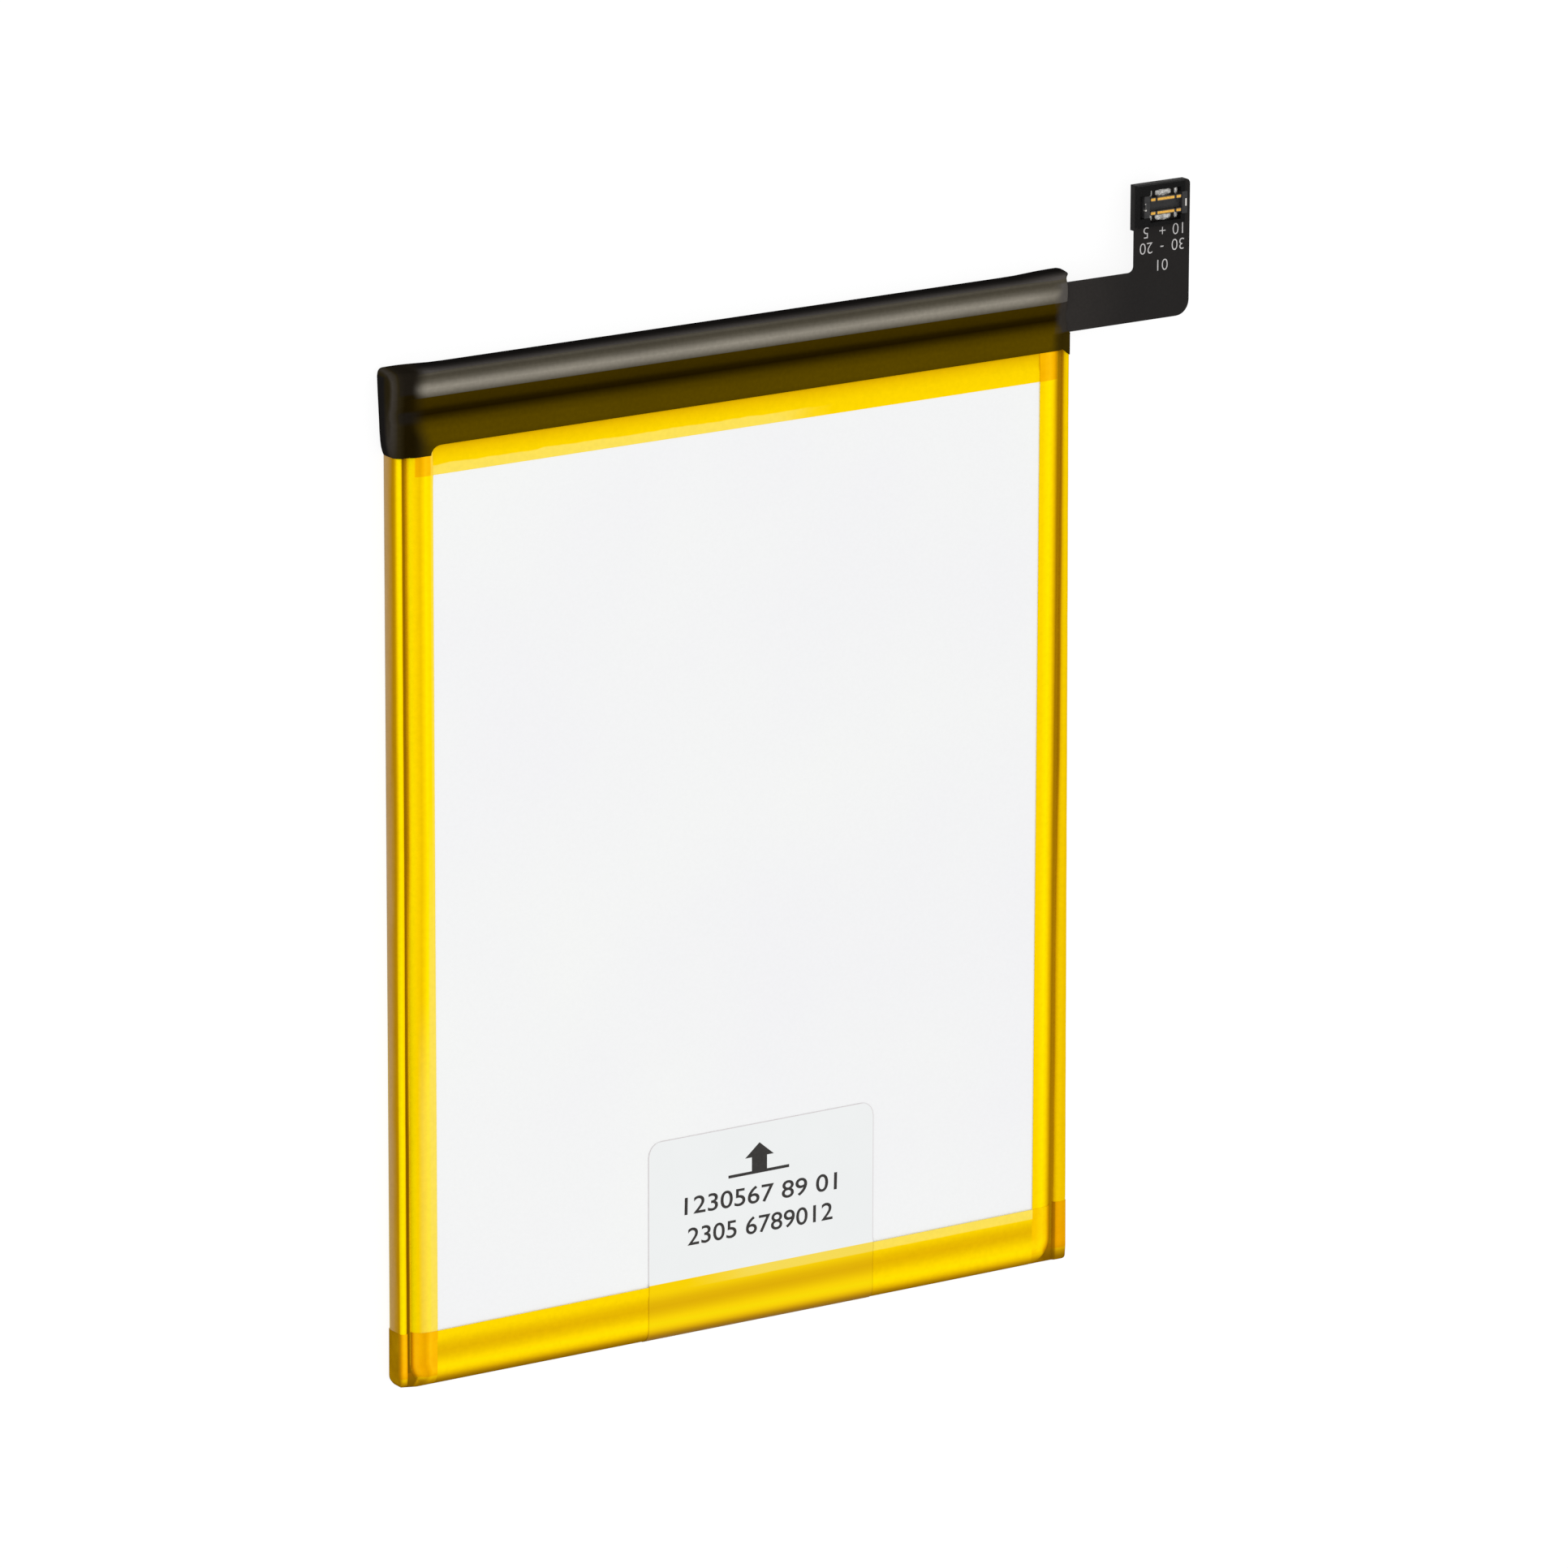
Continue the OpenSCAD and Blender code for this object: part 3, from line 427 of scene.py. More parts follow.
def wrapMaterial():
    material, tree, shader, place, (x, y, z) = startMaterial("darkFilm")
    cloud = grain(tree, place, 120, 3.0)
    isFoil = step(tree, y, 38.78, 38.82)
    # painted shade in the valley of the brown film, lighter on the rise below it
    brown = paintedLightAlong(tree, y, wrap["brownValleyShade"], wrap["brown"])
    # painted highlight on the foil under the film, dimmer towards the right end
    foilTone = times(tree, levelAlong(tree, y, wrap["foilHighlight"]), plus(tree, times(tree, step(tree, x, 26.0, 29.5), -0.35), 1.0))
    colour = blendColour(tree, isFoil, brown, colourAlong(tree, foilTone, wrap["foil"]))
    back = step(tree, y, 40.6, 40.66)
    # painted shade down the back wall, darkest low down
    colour = blendColour(tree, back, colour, paintedLightAlong(tree, z, wrap["backWallShade"], wrap["black"]))
    # the foil under the film stops short of the left end, with a soft round end
    away = plus(tree, y, -39.55)
    leftEdge = plus(tree, x, times(tree, away, away, -0.35))
    brownEdge = plus(tree, x, times(tree, step(tree, y, 37.0, 35.0), -0.6))
    reach = blendColour(tree, isFoil, step(tree, brownEdge, -30.1, -28.3), step(tree, leftEdge, -29.9, -28.4))
    # painted highlight on the round of the left end, painted shade in the groove beside it
    dark = paintedLightAlong(tree, x, wrap["bendLightAndShade"], wrap["bend"])
    cool = times(tree, plus(tree, step(tree, y, 39.0, 39.3), step(tree, y, 37.9, 37.6)), 0.55, step(tree, y, 36.6, 37.2))
    dark = blendColour(tree, times(tree, cool, step(tree, x, -31.0, -30.7)), dark, shade(*wrap["neutral"]))
    colour = blendColour(tree, reach, dark, colour)
    # the root of the tail under the film at the right end
    fuzz = times(tree, grain(tree, place, 1500, 3.0), 0.9)
    tail = times(tree, step(tree, plus(tree, x, fuzz), 29.5, 30.4), step(tree, y, 36.2, 36.4), step(tree, y, 40.5, 40.2))
    colour = blendColour(tree, tail, colour, blendColour(tree, isFoil, shade(*wrap["tail"]), shade(*wrap["tailFoil"])))
    side = times(tree, step(tree, x, 28.6, 29.6), step(tree, y, 36.5, 36.2))
    colour = blendColour(tree, side, colour, shade(*wrap["rightEnd"]))
    wall = times(tree, step(tree, z, 2.0, 1.4), step(tree, y, 40.6, 40.4))
    colour = blendColour(tree, wall, colour, shade(*wrap["neutral"]))
    colour = blendColour(tree, 1.0, colour, spreadLevel(tree, cloud, 0.95, 1.04), "MULTIPLY")
    fine = grain(tree, place, 3000, 2.0)
    colour = blendColour(tree, 1.0, colour, spreadLevel(tree, fine, 0.94, 1.05), "MULTIPLY")
    tree.links.new(colour, shader.inputs["Base Color"])
    setShader(shader, Metallic=0.0, IOR=1.45, Specular_IOR_Level=0.0)
    tree.links.new(spreadLevel(tree, grain(tree, place, 900, 3.0), 0.34, 0.46), shader.inputs["Roughness"])
    long = grain(tree, place, 260, 2.0, (0.2, 1.0, 1.0))
    bumpFrom(tree, shader, plus(tree, long, times(tree, fine, 0.08)), 0.2, 0.00025)
    return material


def labelMaterial():
    material, tree, shader, place, (x, y, z) = startMaterial("whiteLabel")
    cloud = grain(tree, place, 45, 4.0)
    colour = blendColour(tree, spreadLevel(tree, cloud, 0.0, 1.0), shade(243, 244, 243), shade(241, 241, 243))
    fine = grain(tree, place, 4000, 3.0)
    colour = blendColour(tree, 1.0, colour, spreadLevel(tree, fine, 0.985, 1.0), "MULTIPLY")
    tree.links.new(colour, shader.inputs["Base Color"])
    setShader(shader, Roughness=0.55, IOR=1.45, Specular_IOR_Level=0.1)
    bumpFrom(tree, shader, plus(tree, cloud, times(tree, fine, 0.03)), 0.1, 0.0003)
    return material


pull = {
    "x": 1.9,
    "half": 10.55,
    "front": -24.05,
    "back": -18.65,
    "corner": 1.2,
    "outline": 0.06,
    "onLabel": 0.045,
    "paper": (237, 239, 239),
    "edge": (217, 212, 213),
}


def pullMaterial(isEdge):
    material, tree, shader, place, (x, y, z) = startMaterial("pullFilmEdge" if isEdge else "pullFilm")
    cloud = grain(tree, place, 220, 4.0)
    paper = shade(*(pull["edge"] if isEdge else pull["paper"]))
    tape = bottomColour(tree, place, x, y, z)
    tape = blendColour(tree, 1.0, tape, shade(*((226, 222, 205) if isEdge else (249, 248, 250))), "MULTIPLY")
    overTape = times(tree, step(tree, y, yellow["bottomY"] + 0.02, yellow["bottomY"] - 0.02), step(tree, z, 0.9, 1.0))
    colour = blendColour(tree, overTape, paper, tape)
    colour = blendColour(tree, 1.0, colour, spreadLevel(tree, cloud, 0.985, 1.0), "MULTIPLY")
    tree.links.new(colour, shader.inputs["Base Color"])
    setShader(shader, Roughness=0.42, IOR=1.45, Specular_IOR_Level=0.02)
    bumpFrom(tree, shader, grain(tree, place, 2600, 3.0), 0.1, 0.0001)
    return material


def laminateMaterial():
    material, tree, shader, place, (x, y, z) = startMaterial("pouchLaminate")
    cloud = grain(tree, place, 60, 4.0)
    brush = grain(tree, place, 900, 3.0, (0.08, 1.0, 1.0))
    colour = blendColour(tree, spreadLevel(tree, cloud, 0.0, 1.0), shade(196, 197, 199), shade(184, 185, 188))
    colour = blendColour(tree, 1.0, colour, spreadLevel(tree, brush, 0.95, 1.02), "MULTIPLY")
    tree.links.new(colour, shader.inputs["Base Color"])
    setShader(shader, Metallic=0.75)
    tree.links.new(spreadLevel(tree, brush, 0.38, 0.5), shader.inputs["Roughness"])
    bumpFrom(tree, shader, plus(tree, cloud, times(tree, brush, 0.05)), 0.3, 0.0003)
    return material


def plainMaterial(name, colour, second, rough, metal=0.0, scale=900.0, bump=0.15, distance=0.00005, specular=0.35):
    material, tree, shader, place, (x, y, z) = startMaterial(name)
    spots = grain(tree, place, scale, 4.0)
    tint = blendColour(tree, spreadLevel(tree, spots, 0.0, 1.0), shade(*colour), shade(*second))
    tree.links.new(tint, shader.inputs["Base Color"])
    setShader(shader, Metallic=metal, Specular_IOR_Level=specular)
    tree.links.new(spreadLevel(tree, grain(tree, place, scale * 0.6, 3.0), rough - 0.06, rough + 0.06), shader.inputs["Roughness"])
    bumpFrom(tree, shader, spots, bump, distance)
    return material


def tailMaterial():
    material, tree, shader, place, (x, y, z) = startMaterial("flexCoverlay")
    weave = grain(tree, place, 5200, 3.0)
    cloud = grain(tree, place, 240, 3.0)
    colour = blendColour(tree, step(tree, x, 37.5, 31.0), shade(33, 31, 30), shade(44, 41, 39))
    colour = blendColour(tree, times(tree, spreadLevel(tree, cloud, 0.0, 1.0), 0.4), colour, shade(36, 34, 33))
    colour = blendColour(tree, 1.0, colour, spreadLevel(tree, weave, 0.88, 1.08), "MULTIPLY")
    tree.links.new(colour, shader.inputs["Base Color"])
    setShader(shader, Specular_IOR_Level=0.06)
    tree.links.new(spreadLevel(tree, weave, 0.5, 0.66), shader.inputs["Roughness"])
    bumpFrom(tree, shader, plus(tree, cloud, times(tree, weave, 0.2)), 0.2, 0.00006)
    return material


contacts = {"rowGap": 1.1, "middleY": 45.52, "goldHalf": 0.1, "goldZ": 3.04}


def goldMaterial():
    # gold on the crest of each contact row, painted shade in place of the gold where the metal goes down beside the
    # wall
    material, tree, shader, place, (x, y, z) = startMaterial("goldPlate")
    spots = grain(tree, place, 7000, 4.0)
    gold = blendColour(tree, spreadLevel(tree, spots, 0.0, 1.0), shade(250, 196, 84), shade(206, 148, 50))
    offset = addNode(tree, "Math", {0: y, 1: contacts["middleY"]}, operation="SUBTRACT").outputs[0]
    reach = addNode(tree, "Math", {0: offset}, operation="ABSOLUTE").outputs[0]
    fromRow = addNode(tree, "Math", {0: reach, 1: contacts["rowGap"] / 2}, operation="SUBTRACT").outputs[0]
    fromRow = addNode(tree, "Math", {0: fromRow}, operation="ABSOLUTE").outputs[0]
    half = contacts["goldHalf"]
    crest = times(tree, step(tree, fromRow, half + 0.015, half - 0.015), step(tree, z, contacts["goldZ"], contacts["goldZ"] + 0.02))
    # painted shade below the crest, gold on it
    tree.links.new(blendColour(tree, crest, shade(52, 47, 42), gold), shader.inputs["Base Color"])
    tree.links.new(times(tree, crest, 0.5), shader.inputs["Metallic"])
    tree.links.new(spreadLevel(tree, spots, 0.26, 0.4), shader.inputs["Roughness"])
    bumpFrom(tree, shader, spots, 0.4, 0.00002)
    return material


def clipMaterial():
    # tin that shows only in spots between the resin
    material, tree, shader, place, (x, y, z) = startMaterial("tinSpots")
    spots = grain(tree, place, 2400, 2.0, (1.0, 1.0, 0.3))
    colour = blendColour(tree, step(tree, spots, 0.48, 0.54), shade(58, 57, 56), shade(214, 211, 205))
    tree.links.new(colour, shader.inputs["Base Color"])
    setShader(shader, Metallic=0.3)
    tree.links.new(spreadLevel(tree, spots, 0.3, 0.5), shader.inputs["Roughness"])
    bumpFrom(tree, shader, spots, 0.3, 0.00002)
    return material


looks = {
    "terrace_insulator": plainMaterial("amberFilm", (176, 118, 20), (160, 104, 16), 0.4, scale=500),
    "positive_tab": plainMaterial("aluminiumTab", (205, 206, 208), (190, 191, 194), 0.35, 0.9, 1500),
    "negative_tab": plainMaterial("nickelTab", (182, 176, 164), (168, 163, 152), 0.33, 0.9, 1500),
    "positive_tab_seal": plainMaterial("sealFilm", (226, 222, 206), (214, 210, 194), 0.5, scale=700),
    "circuit_board": plainMaterial("boardLaminate", (34, 92, 56), (28, 80, 48), 0.45, scale=1800),
    "power_switch": plainMaterial("chipMoulding", (44, 44, 45), (36, 36, 37), 0.55, scale=5000, bump=0.3),
    "chip_fuse": plainMaterial("fuseCeramic", (150, 178, 150), (138, 166, 140), 0.5, scale=2500),
    "temperature_sensor": plainMaterial("sensorCeramic", (122, 82, 60), (108, 72, 52), 0.45, scale=2500),
    "chip_resistors": plainMaterial("resistorGlaze", (32, 32, 34), (26, 26, 28), 0.3, scale=2500),
    "chip_capacitors": plainMaterial("capacitorCeramic", (176, 146, 112), (164, 134, 102), 0.45, scale=2500),
    "connector_stiffener": plainMaterial("stiffenerLaminate", (28, 27, 26), (20, 19, 19), 0.55, scale=3500, specular=0.1),
    "connector_frame": plainMaterial("foam", (24, 23, 23), (13, 13, 13), 0.8, scale=9000, bump=0.6, distance=0.00004, specular=0.08),
    "connector_housing": plainMaterial("connectorResin", (58, 57, 57), (46, 46, 47), 0.5, scale=4000, bump=0.1, specular=0.15),
    "power_contacts": goldMaterial(),
    "hold_down_clips": clipMaterial(),
    "flex_tail": tailMaterial(),
}
sharedLooks = {
    "negative_tab_seal": "positive_tab_seal",
    "positive_weld_plate": "negative_tab",
    "negative_weld_plate": "negative_tab",
    "protection_chip": "power_switch",
    "signal_contacts": "power_contacts",
    "cover_strip": "positive_tab",
}
for name, source in sharedLooks.items():
    looks[name] = looks[source]
for name, material in looks.items():
    node = nodes[name]
    node.data.materials.clear()
    node.data.materials.append(material)
print("materials on the carried-over nodes:", len(looks))


cell = {
    "face": 2.84,
    "grooveZ": 1.94,
    "shoulder": 0.9,
    "cupX": 29.9,
    "cupTop": 37.31,
    "cupCorner": 2.2,
    "topCorner": 1.0,
    "wingX": 30.66,
    "wingR": 0.26,
    "wingZ": 2.12,
    "sideX": 30.92,
    "bottom": -40.595,
    "endR": [(-31.0, 2.1), (-29.4, 1.38), (31.0, 0.7)],
    "endBackR": 0.6,
    "seamR": 0.7,
    "planCorner": {-1: 0.78, 1: 0.4},
    "backZ": 0.16,
    "labelX": 28.65,
    "labelY": (-36.5, 33.5),
    "labelT": 0.08,
    "labelRamp": 0.45,
    "terrace": (37.3, 39.9, 29.9, 0.2),
}
layers = {"top": 0.035, "side": 0.068, "bottom": 0.1, "pull": 0.135, "thick": 0.03}


def along(stops, value):
    for (start, first), (end, second) in zip(stops, stops[1:]):
        if value <= end:
            return first + (second - first) * max(0.0, (value - start) / (end - start))
    return stops[-1][1]


def softStep(value, low, high):
    t = min(1.0, max(0.0, (value - low) / (high - low)))
    return t * t * (3 - 2 * t)


def bell(t):
    return (1 - t * t) ** 2 if abs(t) < 1 else 0.0


def capRise(gap, radius):
    # height of a quarter round, at a distance inside its foot
    if gap <= 0:
        return 0.0
    return radius if gap >= radius else math.sqrt(radius ** 2 - (radius - gap) ** 2)


def softMax(first, second, reach):
    near = max(reach - abs(first - second), 0.0) / reach
    return max(first, second) + near * near * reach / 4


def cornerGap(sideGap, endGap, radius):
    # distance inside an outline with a round corner
    if sideGap < radius and endGap < radius:
        return radius - math.hypot(radius - sideGap, radius - endGap)
    return min(sideGap, endGap)


def packTop(x, y, over):
    # height of the labelled side, raised by the films and the label
    away = abs(x)
    sideGap = cell["cupX"] + over - away
    endGap = y - cell["bottom"] + over
    if y < 0:
        gap = cornerGap(sideGap, endGap, cell["cupCorner"] + over)
    else:
        gap = cornerGap(sideGap, cell["cupTop"] + over - y, cell["topCorner"] + over)
    labelled = 1.0 - softStep(away, cell["labelX"], cell["labelX"] + cell["labelRamp"])
    low, high = cell["labelY"]
    labelled *= softStep(y, low - cell["labelRamp"], low) * (1.0 - softStep(y, high, high + cell["labelRamp"]))
    cup = cell["grooveZ"] + capRise(gap, cell["shoulder"] + over) + (cell["labelT"] * labelled if over else 0.0)
    radius = cell["wingR"] + over
    fromWing = min(abs(away - cell["wingX"]), radius)
    wing = cell["wingZ"] + math.sqrt(radius ** 2 - fromWing ** 2)
    if away > cell["wingX"]:
        low = wing
    else:
        low = softMax(cell["grooveZ"] + over, wing, 0.12)
    z = softMax(cup, low, 0.1) if gap < cell["shoulder"] else cup
    z -= softStep(away, 30.1, 30.8) * softStep(-y, 39.5, 40.7) * (0.22 if x < 0 else 0.09)
    endRadius = along(cell["endR"], x)
    if endGap < endRadius + over:
        z = -softMax(-z, -(cell["face"] - endRadius + capRise(endGap, endRadius + over)), 0.06)
    return z


def acrossPlace(x, y):
    # place across the pack that follows the round bottom corner of the cup
    away = abs(x)
    sideGap, endGap, radius = cell["cupX"] - away, y - cell["bottom"], cell["cupCorner"]
    if sideGap >= radius or endGap >= radius:
        return away
    reach = math.hypot(radius - sideGap, radius - endGap)
    gap = radius - reach
    turned = softStep((radius - endGap) / max(reach, 1e-6), 0.6, 0.97)
    place = cell["cupX"] - gap
    if gap < -0.25:
        place = max(cell["cupX"] + 0.25, away)
    return place + (28.5 - place) * turned * softStep(30.4 - away, 0.0, 1.2)


def placeGrid(columns, rows, place):
    # a grid sheet whose corners are put in place one by one
    shape = bmesh.new()
    across, along = len(columns) - 1, len(rows) - 1
    bmesh.ops.create_grid(shape, x_segments=across, y_segments=along, size=0.5)
    ends = {"first": [], "last": []}
    for vertex in shape.verts:
        i = round((vertex.co.x + 0.5) * across)
        j = round((vertex.co.y + 0.5) * along)
        if j == 0:
            ends["first"].append(vertex)
        if j == along:
            ends["last"].append(vertex)
        vertex.co = Vector(place(columns[i], rows[j])) * mm
    return shape, ends


def dropRim(shape, openRow, rings, core):
    # the free edge of a sheet, led down the walls and on to the back, ring after ring
    isOpen = set(openRow)
    rim = [edge for edge in shape.edges if edge.is_boundary and not all(v in isOpen for v in edge.verts)]
    low, high, bottom, top = (value * mm for value in core)
    for z, sideways, endways in rings:
        grown = bmesh.ops.extrude_edge_only(shape, edges=rim)["geom"]
        fresh = {item for item in grown if isinstance(item, bmesh.types.BMVert)}
        rim = [item for item in grown if isinstance(item, bmesh.types.BMEdge) and all(v in fresh for v in item.verts)]
        for vertex in fresh:
            middle = Vector((min(max(vertex.co.x, low), high), min(max(vertex.co.y, bottom), top), vertex.co.z))
            way = vertex.co - middle
            if way.length > 0:
                way.normalize()
            vertex.co.x += way.x * sideways * mm
            vertex.co.y += way.y * endways * mm
            vertex.co.z = min(vertex.co.z, z * mm)


def thicken(shape, thick):
    # the sheet is the film's outer side; its inner side is the same sheet moved inwards
    bmesh.ops.recalc_face_normals(shape, faces=shape.faces)
    highest = max(shape.faces, key=lambda face: face.calc_center_median().z)
    if highest.normal.z < 0:
        bmesh.ops.reverse_faces(shape, faces=shape.faces)
    shape.normal_update()
    way = shape.verts.layers.float_vector.new("way")
    for vertex in shape.verts:
        vertex[way] = vertex.normal
    grown = bmesh.ops.extrude_face_region(shape, geom=shape.faces[:], use_keep_orig=True)["geom"]
    for item in grown:
        if isinstance(item, bmesh.types.BMVert):
            item.co -= item[way] * thick * mm
    shape.verts.layers.float_vector.remove(way)
    bmesh.ops.recalc_face_normals(shape, faces=shape.faces)


def finishFilm(shape, name, node, materials, thick, sharpAngle=50.0, isOutline=None):
    if thick:
        thicken(shape, thick)
    across = shape.verts.layers.float.new("across")
    for vertex in shape.verts:
        vertex[across] = acrossPlace(vertex.co.x / mm, vertex.co.y / mm)
    for face in shape.faces:
        face.smooth = True
        face.material_index = 1 if isOutline and isOutline(face.calc_center_median() / mm) else 0
    for edge in shape.edges:
        if len(edge.link_faces) == 2 and edge.calc_face_angle() > math.radians(sharpAngle):
            edge.smooth = False
    mesh = bpy.data.meshes.new(name)
    shape.to_mesh(mesh)
    shape.free()
    for material in materials:
        mesh.materials.append(material)
    piece = bpy.data.objects.new(name, mesh)
    bpy.context.scene.collection.objects.link(piece)
    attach(piece, "root")
    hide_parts(node)
    print(name, "made:", len(mesh.polygons), "faces")
    return piece


def between(start, end, count):
    return [start + (end - start) * i / count for i in range(count + 1)]


def sideColumns(over, inner):
    # places from the face out to the side of the pack, close together where the seam is folded
    face = [x for x in (28.2, 28.4, 28.65, 28.88, 29.1) if x > inner]
    shoulder = between(29.2, 29.9 + over, 9)
    wing = [cell["wingX"] + (cell["wingR"] + over) * math.sin(math.radians(a)) for a in (-50, -38, -26, -14, 0, 15, 30, 45, 60, 75, 90)]
    groove = [x for x in between(30.0 + over, 30.42, 6) if x < wing[0] - 0.02]
    return [inner] + face + shoulder + groove + wing


def mergedCopy(node):
    shape = bmesh.new()
    shape.from_mesh(nodes[node].data)
    bmesh.ops.remove_doubles(shape, verts=shape.verts, dist=1e-7)
    bmesh.ops.dissolve_limit(shape, angle_limit=math.radians(0.3), verts=shape.verts, edges=shape.edges)
    return shape


def roundPlan(x, y, over):
    # the square corner of a grid, drawn in to the round bottom corner of the pack
    radius = cell["planCorner"][-1 if x < 0 else 1] + over
    cornerX = cell["sideX"] + over - radius
    cornerY = cell["bottom"] - over + radius
    a, b = (abs(x) - cornerX) / radius, (cornerY - y) / radius
    if a > 0 and b > 0:
        k = max(a, b) / math.hypot(a, b)
        return math.copysign(cornerX + a * k * radius, x), cornerY - b * k * radius
    return x, y


def spread(x, y):
    # the folded seam at the right grows wider towards the bottom edge
    amount = min(1.0, max(0.0, (30.0 - y) / 70.0))
    return x + amount * (0.5 * softStep(x, 30.25, 30.95) - 0.12 * bell((x - 29.9) / 0.8))


def endRows(over, last):
    # places from the bottom edge up to the last one, close together on the rounded edge
    radius = cell["endR"][1][1] + over
    start = cell["bottom"] - over
    rounded = [start + radius * (1 - math.cos(math.radians(a))) for a in range(0, 85, 7)]
    return rounded + between(start + radius, start + radius + 1.2, 8) + [last] if last < -37.5 else (
        rounded + between(start + radius, start + radius + 0.9, 6) + between(start + radius + 1.2, last, 9)
    )


def fullColumns(over):
    left, right = [sideColumns(over, yellow["inner"][side]) for side in (-1, 1)]
    return [-x for x in reversed(left)] + between(-26.5, 26.5, 36) + right


def pouchPiece():
    columns = fullColumns(0.0)
    rows = endRows(0.0, -35.65) + between(-34.0, 34.0, 34) + [35.2, 36.2, 36.45, 36.7, 36.95, 37.15, 37.27, 37.31]

    def place(x, y):
        x, y = roundPlan(x, y, 0.0)
        return spread(x, y), y, packTop(x, y, 0.0) - 0.03 * bell((abs(x) - 30.2) / 0.45)

    shape, ends = placeGrid(columns, rows, place)
    rings = [(1.3, 0, 0), (0.76, 0, 0), (0.45, -0.08, -0.08), (0.24, -0.22, -0.22), (cell["backZ"], -0.42, -0.42)]
    dropRim(shape, [], rings, (-26.0, 26.0, -35.0, 33.0))
    bmesh.ops.holes_fill(shape, edges=[edge for edge in shape.edges if edge.is_boundary])
    y0, y1, half, thick = cell["terrace"]
    slab = bmesh.ops.create_cube(shape, size=1.0)["verts"]
    bmesh.ops.scale(shape, vec=Vector((2 * half, y1 - y0, thick)) * mm, verts=slab)
    bmesh.ops.translate(shape, vec=Vector((0, (y0 + y1) / 2, cell["backZ"] + thick / 2)) * mm, verts=slab)
    slabEdges = list({edge for vertex in slab for edge in vertex.link_edges})
    bmesh.ops.bevel(shape, geom=slabEdges, offset=0.04 * mm, segments=2, profile=0.5, material=-1, affect="EDGES")
    bmesh.ops.recalc_face_normals(shape, faces=shape.faces)
    return finishFilm(shape, "pouchCell", "cell_pouch", [laminateMaterial()], 0)


def sidePiece(side, name, node):
    over = layers["side"]
    top = [(x, None) for x in sideColumns(over, yellow["inner"][side])]
    wall = [(cell["sideX"] + over, z) for z in (1.75, 1.3, cell["backZ"] + cell["seamR"])]
    turn = []
    for angle in range(-15, -91, -15):
        a, r = math.radians(angle), cell["seamR"] + over
        turn.append((cell["sideX"] - cell["seamR"] + r * math.cos(a), cell["backZ"] + cell["seamR"] + r * math.sin(a)))
    flap = [(x, cell["backZ"] - over) for x in (29.5, 28.5, 27.5, 26.5)]
    columns = top + wall + turn + flap
    rows = between(yellow["sideEnd"], -37.0, 20) + between(-36.4, 35.6, 72) + [36.2, 36.45, 36.7, 36.95, 37.2]

    def place(column, y):
        x, z = column
        waver = 0.012 + 0.014 * noise.noise(Vector((side * 7.0, y * 0.35, 0.0))) + 0.006 * noise.noise(Vector((side * 3.0, y * 1.3, 5.0)))
        if z is None:
            overTop = layers["top"] * softStep(y, 32.3, 32.7) * (1 - softStep(x, 29.4, 29.8))
            z = packTop(x, y, over + overTop - 0.02 * softStep(-y, 35.9, 36.3)) - 0.06 * softStep(-y, 39.2, 39.67)
            z += waver * softStep(x, 29.2, 29.8)
        return side * (spread(x, y) if side > 0 else x), y, z

    shape, ends = placeGrid(columns, rows, place)
    return finishFilm(shape, name, node, [sideMaterial(name + "Film", side)], layers["thick"])


def topPiece():
    over = layers["top"]
    reach = [x for x in sideColumns(over, 27.75) if x <= 29.5] + [29.5]
    columns = [-x for x in reversed(reach)] + between(-26.5, 26.5, 36) + reach
    rows = [(y, None) for y in between(yellow["topY"], 34.25, 8) + between(34.6, 36.2, 4) + [36.45, 36.7, 36.9]]
    rows += [(37.12, 2.62), (37.3, 2.46), (37.55, 2.44), (37.75, 2.5), (38.1, 2.69), (38.75, 2.69)]

    def place(x, row):
        y, z = row
        return x, y, packTop(x, y, over) if z is None else z

    shape, ends = placeGrid(columns, rows, place)
    return finishFilm(shape, "topTape", "top_tape", [topMaterial()], layers["thick"])


def bottomPiece():
    over = layers["bottom"]
    columns = fullColumns(over)
    rows = endRows(over, yellow["bottomY"])

    def place(x, y):
        x, y = roundPlan(x, y, over)
        # the film's free edge runs slightly aslant
        aslant = -0.1 + 0.0035 * x
        return spread(x, y), y + aslant * softStep(y, -37.0, yellow["bottomY"]), packTop(x, y, over)

    shape, ends = placeGrid(columns, rows, place)
    low = cell["backZ"] - over
    rings = [(1.3, 0, 0), (0.8, 0, 0), (0.48, -0.07, -0.07), (0.24, -0.2, -0.2), (0.1, -0.3, -0.3), (low, -0.4, -0.4), (low, -3.4, -3.4)]
    dropRim(shape, ends["last"], rings, (-26.0, 26.0, yellow["bottomY"], 0.0))
    return finishFilm(shape, "bottomTape", "bottom_tape", [bottomMaterial()], layers["thick"])


